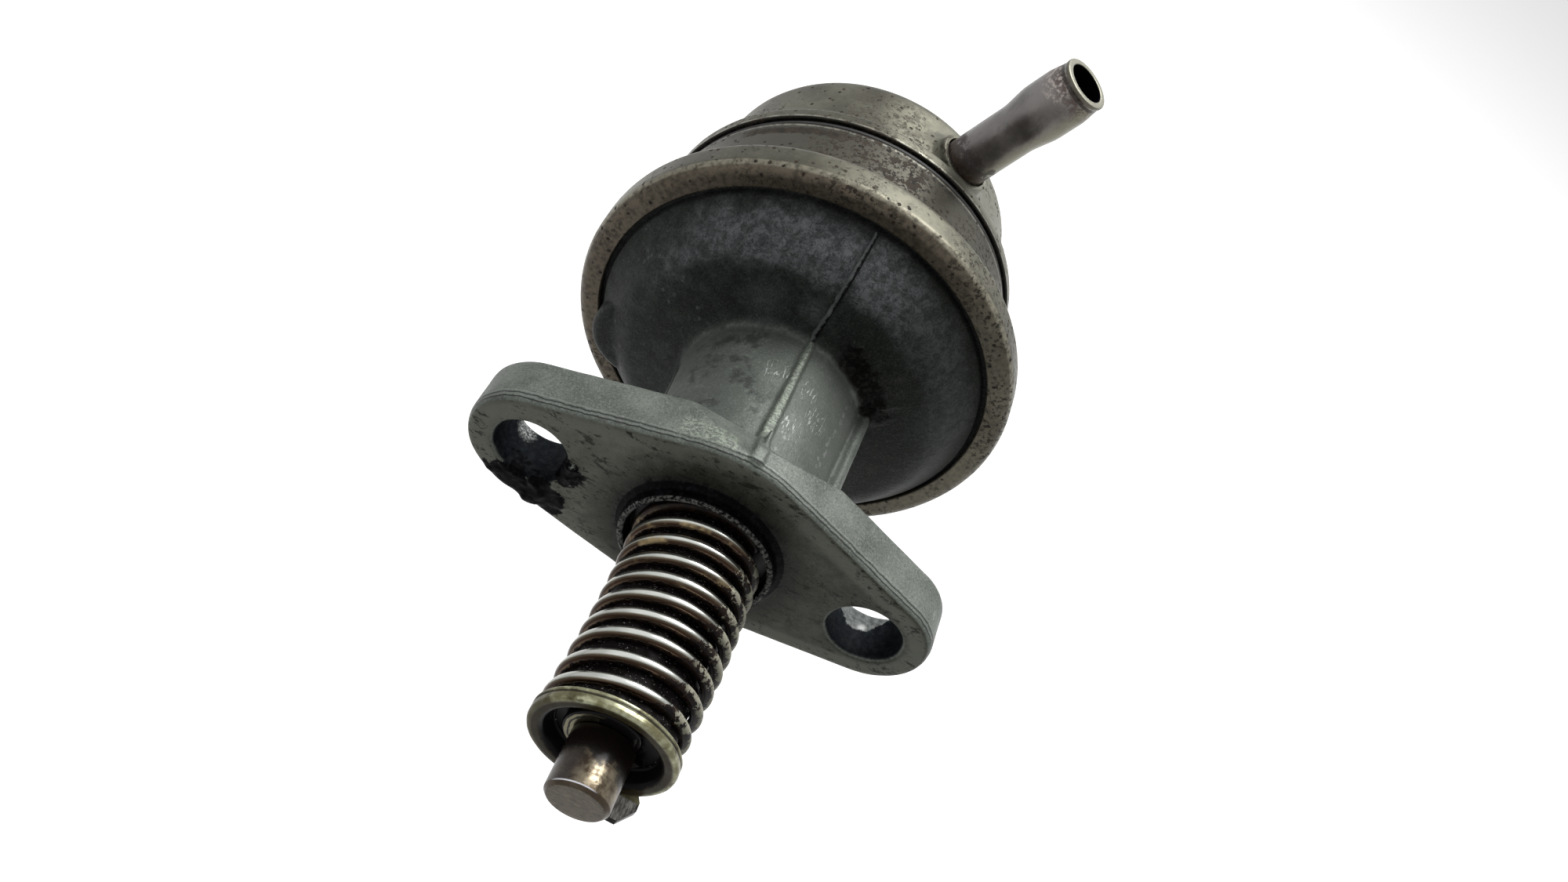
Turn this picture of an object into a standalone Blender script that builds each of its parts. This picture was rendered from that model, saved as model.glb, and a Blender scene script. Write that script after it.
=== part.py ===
"""Plunger-driven diaphragm fuel pump, built for Blender 4.5.

The pump is modelled in its own frame: +Z runs from the driven plunger to the
top cover, +X through the two bolt holes, and z = 0 is the mounting face of the
flange. One empty lays that frame down, as the pump is bolted to an engine:
the pump's +Z becomes the world's +Y, and the outlet pipe points up.

All sizes are in millimetres times MM, so the model is in metres.
"""

import math

import bmesh
import bpy
from mathutils import Matrix, Vector

MM = 0.001

# Fits
SEAT_GAP = 0.3 * MM          # between two pieces that sit on each other
RUNNING_GAP = 0.12 * MM      # between the plunger and what guides it

# Mounting flange
FLANGE_THICK = 7.5 * MM
HOLE_SPACING = 48.4 * MM
HOLE_RADIUS = 5.0 * MM
HOLE_CHAMFER = 0.5 * MM
EAR_RADIUS = 8.9 * MM        # round ends, about the bolt holes
WAIST_FRONT = 17.8 * MM      # half width on the side with the parting ridge
WAIST_BACK = 14.2 * MM       # half width on the other side
FLANGE_EDGE = 0.7 * MM
SPIGOT_RADIUS = 10.5 * MM    # ring that centres the pump in the engine
SPIGOT_WALL = 0.9 * MM
SPIGOT_PROUD = 2.0 * MM
RECESS_DEPTH = 2.2 * MM      # floor of the spring recess, behind the face
RIGHT_FACET = (3.9 * MM, 3.55 * MM)  # back edge cut away beside the ridge: reach, drop
LEFT_FACET = (2.8 * MM, 5.5 * MM)    # the same on the other side of the ridge
CUT_OVERRUN = 0.4                    # share by which their cutting wedges reach past them

# Neck and bell of the casting
NECK_RADIUS = 12.4 * MM
NECK_DRAFT = 0.8 * MM        # growth of the neck towards the bell
NECK_FOOT = 1.5 * MM         # fillet where the neck stands on the flange
BELL_LEVEL = 31.2 * MM       # shoulder of the bell's underside
BELL_RISE = 5.8 * MM         # from the shoulder to the crimped lip
BELL_CONE = 1.8 * MM         # the underside comes forward towards the neck
BELL_FILLET = 1.4 * MM       # hollow round between neck and bell
BELL_SHOULDER = 6.0 * MM     # full round at the bell's shoulder
BELL_SLOPE_RUN = 4.6 * MM    # how far the sloped edge reaches inwards
CAST_WALL = 2.4 * MM
BOWL_FILLET = 2.0 * MM
WEB_THICK = 2.4 * MM
WEB_PROUD = 1.6 * MM         # how far the web opposite the boss stands off the neck
LOW_WEB_PROUD = 1.0 * MM     # the one below the boss is lower
RIDGE_WIDTH = 1.1 * MM       # at the bell
RIDGE_FOOT = 2.4 * MM        # width at the flange
RIDGE_PROUD = 0.8 * MM
FIN_SUNK = 0.4 * MM          # the ridge's base line, inside the flange's side
RIDGE_OFFSET = 0.7 * MM      # the mould halves met a little off centre
SEAM_WIDTH = 0.5 * MM        # thin parting line across the bell
SEAM_PROUD = 0.3 * MM
BOSS_RADIUS = 7.0 * MM
BOSS_PROUD = 4.2 * MM        # from the boss's face to the crimped lip
BOSS_REACH = 0.7 * MM        # how far the boss stands out past the bell's edge
BOSS_ANGLE = math.radians(157.5)

# Bores through the casting
SLEEVE_RADIUS = 6.0 * MM
SLEEVE_DEPTH = 12.3 * MM     # shoulder that the sleeve is pressed against
SLEEVE_PROUD = 17.0 * MM     # in front of the mounting face
SHOULDER_THICK = 1.0 * MM
SEAL_POCKET_RADIUS = 7.0 * MM
SEAL_POCKET_DEPTH = 3.7 * MM
CHAMBER_RADIUS = 9.8 * MM
RETAINER_THICK = 0.8 * MM

# Plunger and what it carries
PLUNGER_RADIUS = 3.9 * MM
PLUNGER_TIP = 38.4 * MM      # in front of the mounting face
TIP_CHAMFER = 0.6 * MM
COLLAR_RADIUS = 7.6 * MM
COLLAR_THICK = 1.2 * MM
SOCKET_WALL = 1.1 * MM
SOCKET_RIM = 4.4 * MM        # plunger length beyond the collar
ROD_RETAINER_THICK = 1.9 * MM
CLIP_GROOVE = 0.6 * MM
CLIP_RADIUS = 5.3 * MM
CLIP_THICK = 0.8 * MM
CLIP_MOUTH = math.radians(70.0)
CUP_RADIUS = 9.1 * MM
CUP_RIM = 1.9 * MM           # width of the rolled rim
CUP_RIM_HEIGHT = 1.7 * MM
CUP_DISH = 1.5 * MM          # how far the dish lies behind the rim
CUP_SHEET = 1.0 * MM
CUP_FRONT = 31.4 * MM        # front of the rim, before the mounting face
TONGUE_WIDTH = 7.4 * MM
TONGUE_LENGTH = 3.2 * MM
TONGUE_OFFSET = 6.9 * MM
TONGUE_THICK = 1.2 * MM

# Springs
RETURN_WIRE = 1.6 * MM
RETURN_RADIUS = 8.0 * MM     # mean radius of the coils
RETURN_TURNS = 9.9
DELIVERY_WIRE = 1.2 * MM
DELIVERY_RADIUS = 6.6 * MM
DELIVERY_TURNS = 5.0
SEAT_WASHER_THICK = 0.8 * MM

# Diaphragm stack
RIM_THICK = 2.2 * MM         # casting rim inside the crimp
DIAPHRAGM_THICK = 1.3 * MM
PLATE_RADIUS = 16.5 * MM
PLATE_THICK = 1.2 * MM
PLATE_CLEARANCE = 0.5 * MM   # lower plate above the bowl's floor, at rest
ROD_RADIUS = 2.0 * MM
ROD_HEAD_THICK = 2.0 * MM
STUD_RADIUS = 1.5 * MM
NUT_RADIUS = 3.6 * MM
NUT_THICK = 2.2 * MM
STROKE = 5.0 * MM

# Sheet-metal drum and cover
SHEET = 0.8 * MM
DRUM_RADIUS = 28.1 * MM
BEAD_WIDTH = 4.9 * MM        # how far the crimped bead stands off the drum
BEAD_ROUND = 1.8 * MM
LIP_WIDTH = 3.6 * MM
LIP_CLEARANCE = 0.8 * MM
DRUM_HEIGHT = 13.4 * MM      # drum wall above the bead
SEAM_HEIGHT = 0.9 * MM       # slot between drum and cover, filled by the gasket
BAND_STEP = 0.4 * MM         # the cover's band stands off the drum wall
BAND_HEIGHT = 2.9 * MM
COVER_STEP = 3.6 * MM        # the cover's upper wall lies inside the drum wall
COVER_HEIGHT = 16.8 * MM     # upper wall of the cover
COVER_ROUND = 3.0 * MM

# Hose pipes
PIPE_RADIUS = 3.75 * MM
PIPE_WALL = 0.8 * MM
PIPE_BULGE = 0.58 * MM
PIPE_LIP = 0.25 * MM
PIPE_REACH = 48.3 * MM       # open end, from the pump's axis
PIPE_DROP = 9.6 * MM         # pipe axis below the cover's top
PIPE_ANGLE = math.radians(-70.0)
BULGE_LENGTH = 11.5 * MM
COLLAR_PROUD = 1.9 * MM
COLLAR_WALL = 0.75 * MM

# Valve housing
HOUSING_THICK = 3.2 * MM
DIVIDER_THICK = 2.4 * MM
VALVE_OFFSET = 11.5 * MM     # valve axis from the pump's axis
VALVE_RADIUS = 5.2 * MM
VALVE_THICK = 1.0 * MM
VALVE_PIN = 0.9 * MM
CAGE_CLEARANCE = 0.7 * MM
CAGE_SHEET = 0.6 * MM
CAGE_HEIGHT = 5.5 * MM
CAGE_FOOT = 0.8 * MM
PORT_RADIUS = 1.1 * MM
PORT_CIRCLE = 3.0 * MM
PORT_COUNT = 6
VALVE_WIRE = 0.4 * MM
VALVE_SPRING_RADIUS = 2.4 * MM
VALVE_SPRING_TURNS = 3.5
STRAINER_RADIUS = 8.0 * MM
STRAINER_HEIGHT = 4.0 * MM
STRAINER_SLOTS = 6

# Levels along the pump's axis, worked out from the sizes above
LIP_LEVEL = BELL_LEVEL + BELL_RISE
RIM_LOW = LIP_LEVEL + SHEET + SEAT_GAP
RIM_HIGH = RIM_LOW + RIM_THICK
CLAMP_LOW = RIM_HIGH + SEAT_GAP
CLAMP_HIGH = CLAMP_LOW + DIAPHRAGM_THICK
BEAD_TOP = CLAMP_HIGH + SEAT_GAP + SHEET
DRUM_TOP = BEAD_TOP + DRUM_HEIGHT
BAND_LOW = DRUM_TOP + SEAM_HEIGHT
BAND_TOP = BAND_LOW + BAND_HEIGHT
COVER_TOP = BAND_TOP + COVER_HEIGHT
PIPE_LEVEL = COVER_TOP - PIPE_DROP
HOUSING_TOP = BAND_TOP - 2 * SHEET - 2 * SEAT_GAP
HOUSING_LOW = HOUSING_TOP - HOUSING_THICK

NECK_TOP = BELL_LEVEL - BELL_CONE
BOWL_FLOOR = BELL_LEVEL + CAST_WALL
LOWER_PLATE_LOW = BOWL_FLOOR + PLATE_CLEARANCE
LOWER_PLATE_TOP = LOWER_PLATE_LOW + PLATE_THICK
CENTRE_LOW = LOWER_PLATE_TOP + SEAT_GAP
CENTRE_HIGH = CENTRE_LOW + DIAPHRAGM_THICK
UPPER_PLATE_LOW = CENTRE_HIGH + SEAT_GAP
NUT_LOW = UPPER_PLATE_LOW + PLATE_THICK + SEAT_GAP

SEAL_FLOOR = SLEEVE_DEPTH + SHOULDER_THICK
CHAMBER_FLOOR = SEAL_FLOOR + SEAL_POCKET_DEPTH
COLLAR_LOW = CHAMBER_FLOOR + RETAINER_THICK + 2 * SEAT_GAP
COLLAR_TOP = COLLAR_LOW + COLLAR_THICK
PLUNGER_END = COLLAR_TOP + SOCKET_RIM
ROD_RETAINER_LOW = PLUNGER_END - SEAT_GAP * 2 - ROD_RETAINER_THICK
ROD_HEAD_TOP = ROD_RETAINER_LOW - SEAT_GAP
SOCKET_FLOOR = ROD_HEAD_TOP - ROD_HEAD_THICK - STROKE - 2 * SEAT_GAP

WASHER_LOW = RECESS_DEPTH - SEAT_GAP - SEAT_WASHER_THICK
CUP_BACK = -CUP_FRONT + CUP_RIM_HEIGHT
DISH_FRONT = -CUP_FRONT + CUP_RIM_HEIGHT + CUP_DISH - CUP_SHEET
CLIP_LOW = DISH_FRONT - SEAT_GAP - CLIP_THICK

# Radii, worked out from the sizes above
BEAD_RADIUS = DRUM_RADIUS + BEAD_WIDTH
LIP_RADIUS = BEAD_RADIUS - LIP_WIDTH
BELL_RADIUS = LIP_RADIUS - LIP_CLEARANCE
RIM_RADIUS = BEAD_RADIUS - SHEET - 2 * SEAT_GAP
BAND_RADIUS = DRUM_RADIUS + BAND_STEP
DRUM_NECK = BAND_RADIUS - SHEET - SEAT_GAP
COVER_RADIUS = DRUM_RADIUS - COVER_STEP
COVER_INSIDE = COVER_RADIUS - SHEET
NECK_TOP_RADIUS = NECK_RADIUS + NECK_DRAFT
SOCKET_RADIUS = PLUNGER_RADIUS - SOCKET_WALL
CAGE_RADIUS = VALVE_RADIUS + CAGE_CLEARANCE + CAGE_SHEET

# Facets round each kind of piece
LARGE_SEGMENT_COUNT = 32
MEDIUM_SEGMENT_COUNT = 18
SMALL_SEGMENT_COUNT = 12
FINE_ROUND = 0.9 * MM        # rounds up to this radius get one facet
MIDDLE_ROUND = 1.5 * MM      # and up to this one, two
SHARP_ANGLE = math.radians(32.0)
AXIS_RADIUS = 1e-7


def clear_scene():
    for thing in list(bpy.data.objects):
        bpy.data.objects.remove(thing, do_unlink=True)


def make_material(name, colour, roughness, metallic):
    material = bpy.data.materials.new(name)
    material.use_nodes = True
    shader = material.node_tree.nodes["Principled BSDF"]
    shader.inputs["Base Color"].default_value = (*colour, 1.0)
    shader.inputs["Roughness"].default_value = roughness
    shader.inputs["Metallic"].default_value = metallic
    return material


def make_empty(name, parent=None, location=(0, 0, 0), rotation=(0, 0, 0)):
    empty = bpy.data.objects.new(name, None)
    empty.empty_display_size = 0.01
    empty.parent = parent
    empty.location = location
    empty.rotation_euler = rotation
    bpy.context.collection.objects.link(empty)
    return empty


def add_object(name, shape, parent, finish, location=(0, 0, 0), rotation=(0, 0, 0)):
    """Turn a bmesh into a smooth-shaded object with its own material."""
    bmesh.ops.recalc_face_normals(shape, faces=shape.faces)
    mesh = bpy.data.meshes.new(name)
    shape.to_mesh(mesh)
    shape.free()
    mesh.shade_smooth()
    mesh.set_sharp_from_angle(angle=SHARP_ANGLE)
    mesh.materials.append(make_material(name, *finish))
    thing = bpy.data.objects.new(name, mesh)
    thing.parent = parent
    thing.location = location
    thing.rotation_euler = rotation
    bpy.context.collection.objects.link(thing)
    return thing


def combine(target, tool, operation):
    """Join, cut or intersect a piece with a hidden guide shape."""
    tool.hide_render = True
    tool.display_type = "WIRE"
    step = target.modifiers.new(operation.lower() + "_" + tool.name, "BOOLEAN")
    step.operation = operation
    step.solver = "EXACT"
    step.object = tool


def rounded(corners, most_steps=3):
    """Turn corners (x, y, radius) into points, with arcs at the round ones."""
    points = []
    count = len(corners)
    for index, corner in enumerate(corners):
        here = Vector(corner[:2])
        radius = corner[2] if len(corner) > 2 else 0.0
        if radius <= 0.0:
            points.append(tuple(here))
            continue
        before = (Vector(corners[index - 1][:2]) - here)
        after = (Vector(corners[(index + 1) % count][:2]) - here)
        half = before.angle(after) / 2
        reach = min(radius / math.tan(half), 0.49 * before.length, 0.49 * after.length)
        radius = reach * math.tan(half)
        start = here + before.normalized() * reach
        centre = here + (before.normalized() + after.normalized()).normalized() * (
            radius / math.sin(half))
        arm = start - centre
        sweep = math.pi - 2 * half
        turn = 1.0 if before.cross(after) < 0 else -1.0
        steps = 1 if radius <= FINE_ROUND else 2 if radius <= MIDDLE_ROUND else most_steps
        for step in range(steps + 1):
            angle = turn * sweep * step / steps
            cos, sin = math.cos(angle), math.sin(angle)
            points.append((
                centre.x + arm.x * cos - arm.y * sin,
                centre.y + arm.x * sin + arm.y * cos,
            ))
    return points


def lathe(profile, segments):
    """Spin a closed profile of (radius, height) points about the Z axis."""
    shape = bmesh.new()
    rings = []
    for radius, height in profile:
        if radius < AXIS_RADIUS:
            rings.append([shape.verts.new((0.0, 0.0, height))])
            continue
        ring = []
        for step in range(segments):
            angle = 2 * math.pi * step / segments
            ring.append(shape.verts.new((
                radius * math.cos(angle),
                radius * math.sin(angle),
                height,
            )))
        rings.append(ring)
    for lower, upper in zip(rings, rings[1:] + rings[:1]):
        if len(lower) == 1 and len(upper) == 1:
            continue
        for step in range(segments):
            after = (step + 1) % segments
            if len(lower) == 1:
                shape.faces.new((lower[0], upper[after], upper[step]))
            elif len(upper) == 1:
                shape.faces.new((lower[step], lower[after], upper[0]))
            else:
                shape.faces.new((lower[step], lower[after], upper[after], upper[step]))
    return shape


def loft(rings, closed=False):
    """Skin between rings of points, with flat caps unless the loft is closed."""
    shape = bmesh.new()
    loops = [[shape.verts.new(point) for point in ring] for ring in rings]
    pairs = list(zip(loops, loops[1:]))
    if closed:
        pairs.append((loops[-1], loops[0]))
    for first, second in pairs:
        count = len(first)
        for step in range(count):
            after = (step + 1) % count
            shape.faces.new((first[step], first[after], second[after], second[step]))
    if not closed:
        shape.faces.new(loops[0][::-1])
        shape.faces.new(loops[-1])
    return shape


def ring_profile(inner, outer, low, high, edge=0.0):
    """Section of a plain ring, with small rounds at its outer corners."""
    return rounded([
        (inner, low),
        (outer, low, edge),
        (outer, high, edge),
        (inner, high),
    ])


def join_shapes(shapes):
    """Put several separate shapes in one bmesh, for a guide that cuts them all."""
    whole = bmesh.new()
    for shape in shapes:
        mesh = bpy.data.meshes.new("joined")
        shape.to_mesh(mesh)
        shape.free()
        whole.from_mesh(mesh)
        bpy.data.meshes.remove(mesh)
    return whole


def box(low, high):
    """A plain block between two corners."""
    section = [(low[0], low[1]), (high[0], low[1]), (high[0], high[1]), (low[0], high[1])]
    return loft([[(x, y, z) for x, y in section] for z in (low[2], high[2])])


def radial_matrix(angle, level):
    """Places a shape made along +Z so that it points out from the pump's axis."""
    return (Matrix.Translation((0, 0, level)) @ Matrix.Rotation(angle, 4, "Z")
            @ Matrix.Rotation(math.pi / 2, 4, "Y"))


def coil(mean_radius, wire_radius, low, high, turns, turn_steps, sides, closed_pitch):
    """A compression spring between two levels, with its end turns closed."""
    start = low + wire_radius
    rise = high - low - 2 * wire_radius
    closed_rise = closed_pitch
    active = turns - 2.0
    pitch = (rise - 2 * closed_rise) / active
    rings = []
    steps = round(turns * turn_steps)
    for step in range(steps + 1):
        turn = turns * step / steps
        if turn < 1.0:
            level = start + closed_rise * turn
        elif turn > turns - 1.0:
            level = start + rise - closed_rise * (turns - turn)
        else:
            level = start + closed_rise + pitch * (turn - 1.0)
        angle = 2 * math.pi * turn
        outward = Vector((math.cos(angle), math.sin(angle), 0.0))
        centre = outward * mean_radius + Vector((0, 0, level))
        ring = []
        for side in range(sides):
            around = 2 * math.pi * side / sides
            ring.append(centre + outward * (wire_radius * math.cos(around))
                        + Vector((0, 0, wire_radius * math.sin(around))))
        rings.append(ring)
    return loft(rings)


def flange_outline(inset, steps_ear=12, steps_waist=8):
    """The flange seen from the front: two round ears, two wider waists, tangent lines."""
    ear = EAR_RADIUS - inset
    front = WAIST_FRONT - inset
    back = WAIST_BACK - inset
    centre = HOLE_SPACING / 2
    lean_front = math.asin((WAIST_FRONT - EAR_RADIUS) / centre)
    lean_back = math.asin((WAIST_BACK - EAR_RADIUS) / centre)
    down, up = -math.pi / 2, math.pi / 2
    arcs = [
        (0.0, front, down - lean_front, down + lean_front, steps_waist),
        (centre, ear, down + lean_front, up - lean_back, steps_ear),
        (0.0, back, up - lean_back, up + lean_back, steps_waist),
        (-centre, ear, up + lean_back, 2 * math.pi + down - lean_front, steps_ear),
    ]
    points = []
    for x, radius, start, end, steps in arcs:
        for step in range(steps + 1):
            angle = start + (end - start) * step / steps
            points.append((x + radius * math.cos(angle), radius * math.sin(angle)))
    return points


def flange_slab(low, high, edge):
    """The flange outline with rounded edges between two levels."""
    layers = [(low, edge)]
    for degrees in (45, 90):
        angle = math.radians(degrees)
        layers.append((low + edge * (1 - math.cos(angle)), edge * (1 - math.sin(angle))))
    for degrees in (90, 45):
        angle = math.radians(degrees)
        layers.append((high - edge * (1 - math.cos(angle)), edge * (1 - math.sin(angle))))
    layers.append((high, edge))
    return loft([
        [(x, y, level) for x, y in flange_outline(inset)]
        for level, inset in layers
    ])


def flange_relief():
    """What the casting lacks at the flange's back edge, either side of the ridge."""
    half_length = HOLE_SPACING / 2 + EAR_RADIUS * 1.5
    pieces = []
    for (reach, drop), near, far in (
        (RIGHT_FACET, RIDGE_OFFSET, half_length),
        (LEFT_FACET, -half_length, RIDGE_OFFSET - SEAM_WIDTH),
    ):
        inner = WAIST_FRONT - reach * (1 + CUT_OVERRUN)
        outer = WAIST_FRONT + reach * CUT_OVERRUN
        section = [
            (-inner, FLANGE_THICK + drop * CUT_OVERRUN),
            (-outer, FLANGE_THICK - drop * (1 + CUT_OVERRUN)),
            (-outer - reach, FLANGE_THICK + drop * (1 + CUT_OVERRUN)),
        ]
        pieces.append(loft([[(x, y, z) for y, z in section] for x in (near, far)]))
    return join_shapes(pieces)


def outer_corners():
    """Outside of neck and bell, from the flange to the crimped lip."""
    return [
        (NECK_RADIUS, FLANGE_THICK + NECK_FOOT),
        (NECK_TOP_RADIUS, NECK_TOP, BELL_FILLET),
        (BELL_RADIUS - BELL_SLOPE_RUN, BELL_LEVEL, BELL_SHOULDER),
        (BELL_RADIUS, LIP_LEVEL - SEAT_GAP),
    ]


def bowl_corners():
    """Inside of the bell: the outside, moved in by the wall, from rim to floor."""
    run = BELL_SLOPE_RUN
    rise = BELL_RISE - SEAT_GAP
    slant = math.hypot(run, rise)
    side_shift = CAST_WALL * slant / rise
    floor_radius = BELL_RADIUS - run - side_shift + CAST_WALL * run / rise
    mouth = BELL_RADIUS - CAST_WALL * 0.9
    mouth_level = BOWL_FLOOR + (mouth - floor_radius) * rise / run
    return mouth, floor_radius, mouth_level


def parting_strip(path, widths, proud, buried):
    """A rib that follows the outside of the casting; its right side is straight."""
    right = RIDGE_OFFSET + widths[1] / 2
    first_level = path[0][1]
    last_level = path[-1][1]
    rings = []
    for index, (radius, level) in enumerate(path):
        share = (level - first_level) / (last_level - first_level)
        width = widths[0] + (widths[1] - widths[0]) * share
        left = right - width
        before = Vector(path[max(index - 1, 0)])
        after = Vector(path[min(index + 1, len(path) - 1)])
        along = (after - before).normalized()
        out = Vector((along.y, -along.x))
        top = Vector((radius, level)) + out * proud
        foot = Vector((radius, level)) - out * buried
        rings.append([
            (left, -foot.x, foot.y),
            (right, -foot.x, foot.y),
            (right - width * 0.12, -top.x, top.y),
            (left + width * 0.2, -top.x, top.y),
        ])
    return loft(rings)


def side_web(angle, proud):
    """A flat rib that stiffens the neck between flange and bell."""
    half = WEB_THICK / 2
    edge = WEB_THICK * 0.2
    rings = []
    for level, radius in (
        (FLANGE_THICK - FLANGE_EDGE * 2, NECK_RADIUS),
        (NECK_TOP + CAST_WALL / 2, NECK_TOP_RADIUS),
    ):
        inside = radius - CAST_WALL / 2
        outside = radius + proud
        rings.append([
            (inside, -half, level),
            (outside - edge, -half, level),
            (outside, -half + edge, level),
            (outside, half - edge, level),
            (outside - edge, half, level),
            (inside, half, level),
        ])
    web = loft(rings)
    bmesh.ops.rotate(web, matrix=Matrix.Rotation(angle, 3, "Z"), verts=web.verts)
    return web


def make_pump_body(frame):
    """The die-cast body: flange, neck with webs and parting ridge, and bell."""
    finish = ((0.26, 0.29, 0.28), 0.55, 0.6)
    mouth, floor_radius, mouth_level = bowl_corners()
    neck_foot = [
        (SPIGOT_RADIUS, FLANGE_THICK * 0.4),
        (NECK_RADIUS + NECK_FOOT, FLANGE_THICK * 0.4),
        (NECK_RADIUS + NECK_FOOT, FLANGE_THICK - NECK_FOOT * 0.2),
        (NECK_RADIUS + NECK_FOOT * 0.3, FLANGE_THICK + NECK_FOOT * 0.3),
    ]
    profile = rounded([
        (SPIGOT_RADIUS - SPIGOT_WALL, -SPIGOT_PROUD),
        (SPIGOT_RADIUS, -SPIGOT_PROUD, SPIGOT_WALL * 0.4),
        *neck_foot,
        *outer_corners(),
        (BELL_RADIUS, RIM_LOW),
        (RIM_RADIUS, RIM_LOW, SEAT_GAP),
        (RIM_RADIUS, RIM_HIGH),
        (mouth, RIM_HIGH),
        (mouth, mouth_level),
        (floor_radius, BOWL_FLOOR, BOWL_FILLET),
        (CHAMBER_RADIUS, BOWL_FLOOR),
        (CHAMBER_RADIUS, CHAMBER_FLOOR),
        (SEAL_POCKET_RADIUS, CHAMBER_FLOOR),
        (SEAL_POCKET_RADIUS, SEAL_FLOOR),
        (PLUNGER_RADIUS + SHOULDER_THICK, SEAL_FLOOR),
        (PLUNGER_RADIUS + SHOULDER_THICK, SLEEVE_DEPTH),
        (SLEEVE_RADIUS + SEAT_GAP, SLEEVE_DEPTH),
        (SLEEVE_RADIUS + SEAT_GAP, RECESS_DEPTH),
        (SPIGOT_RADIUS - SPIGOT_WALL, RECESS_DEPTH),
    ])
    body = add_object("pump_body", lathe(profile, LARGE_SEGMENT_COUNT), frame, finish)

    plate = add_object("guide_flange", flange_slab(0.0, FLANGE_THICK, FLANGE_EDGE), frame, finish)
    centre_hole = add_object("guide_centre_hole", lathe([
        (0.0, -SPIGOT_PROUD),
        (SPIGOT_RADIUS - SPIGOT_WALL / 2, -SPIGOT_PROUD),
        (SPIGOT_RADIUS - SPIGOT_WALL / 2, FLANGE_THICK + SPIGOT_PROUD),
        (0.0, FLANGE_THICK + SPIGOT_PROUD),
    ], LARGE_SEGMENT_COUNT), frame, finish)
    combine(plate, centre_hole, "DIFFERENCE")

    combine(plate, add_object("guide_relief", flange_relief(), frame, finish), "DIFFERENCE")

    path = rounded(outer_corners())
    neck_path = [point for point in path if point[1] < NECK_TOP - BELL_FILLET / 2]
    fin_path = [
        (WAIST_FRONT - FIN_SUNK, FLANGE_EDGE * 1.6),
        (WAIST_FRONT - FIN_SUNK, FLANGE_THICK * 0.42),
        (WAIST_FRONT - FLANGE_EDGE * 2.4, FLANGE_THICK * 0.76),
        (NECK_RADIUS + NECK_FOOT, FLANGE_THICK + FLANGE_EDGE),
        (NECK_RADIUS + NECK_FOOT * 0.2, FLANGE_THICK + NECK_FOOT * 1.5),
    ]
    ridge = add_object(
        "guide_ridge",
        parting_strip(fin_path + neck_path[1:], (RIDGE_FOOT, RIDGE_WIDTH), RIDGE_PROUD,
                      CAST_WALL / 2),
        frame, finish)
    seam = add_object(
        "guide_seam",
        parting_strip(path[1:], (SEAM_WIDTH, SEAM_WIDTH), SEAM_PROUD, CAST_WALL / 2),
        frame, finish)
    webs = add_object(
        "guide_webs",
        join_shapes([
            side_web(BOSS_ANGLE + math.pi, WEB_PROUD),
            side_web(BOSS_ANGLE, LOW_WEB_PROUD),
        ]),
        frame, finish)

    boss_centre = BELL_RADIUS - BOSS_RADIUS + BOSS_REACH
    boss_top = LIP_LEVEL - SEAT_GAP * 1.2
    boss = add_object(
        "guide_boss",
        lathe(rounded([
            (0.0, LIP_LEVEL - BOSS_PROUD),
            (BOSS_RADIUS, LIP_LEVEL - BOSS_PROUD, BOSS_RADIUS * 0.2),
            (BOSS_RADIUS, boss_top),
            (0.0, boss_top),
        ]), MEDIUM_SEGMENT_COUNT),
        frame, finish,
        location=(boss_centre * math.cos(BOSS_ANGLE), boss_centre * math.sin(BOSS_ANGLE), 0.0))
    half_wall = CAST_WALL / 2
    boss_core = add_object("guide_boss_core", lathe([
        (0.0, BOWL_FLOOR - half_wall),
        (floor_radius, BOWL_FLOOR - half_wall),
        (mouth + half_wall / 2, mouth_level - half_wall / 2),
        (mouth + half_wall / 2, LIP_LEVEL + half_wall),
        (0.0, LIP_LEVEL + half_wall),
    ], LARGE_SEGMENT_COUNT), frame, finish)
    combine(boss, boss_core, "DIFFERENCE")

    hole_section = [
        (0.0, -HOLE_CHAMFER),
        (HOLE_RADIUS + HOLE_CHAMFER * 2, -HOLE_CHAMFER),
        (HOLE_RADIUS, HOLE_CHAMFER),
        (HOLE_RADIUS, FLANGE_THICK - HOLE_CHAMFER),
        (HOLE_RADIUS + HOLE_CHAMFER * 2, FLANGE_THICK + HOLE_CHAMFER),
        (0.0, FLANGE_THICK + HOLE_CHAMFER),
    ]
    bolt_holes = []
    for side in (-1, 1):
        hole = lathe(hole_section, MEDIUM_SEGMENT_COUNT)
        bmesh.ops.translate(hole, verts=hole.verts, vec=(side * HOLE_SPACING / 2, 0, 0))
        bolt_holes.append(hole)
    holes = add_object("guide_bolt_holes", join_shapes(bolt_holes), frame, finish)

    for guide in (plate, ridge, seam, webs, boss):
        combine(body, guide, "UNION")
    combine(body, holes, "DIFFERENCE")
    body.modifiers.new("flat_faces_stay_flat", "WEIGHTED_NORMAL").keep_sharp = True


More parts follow.
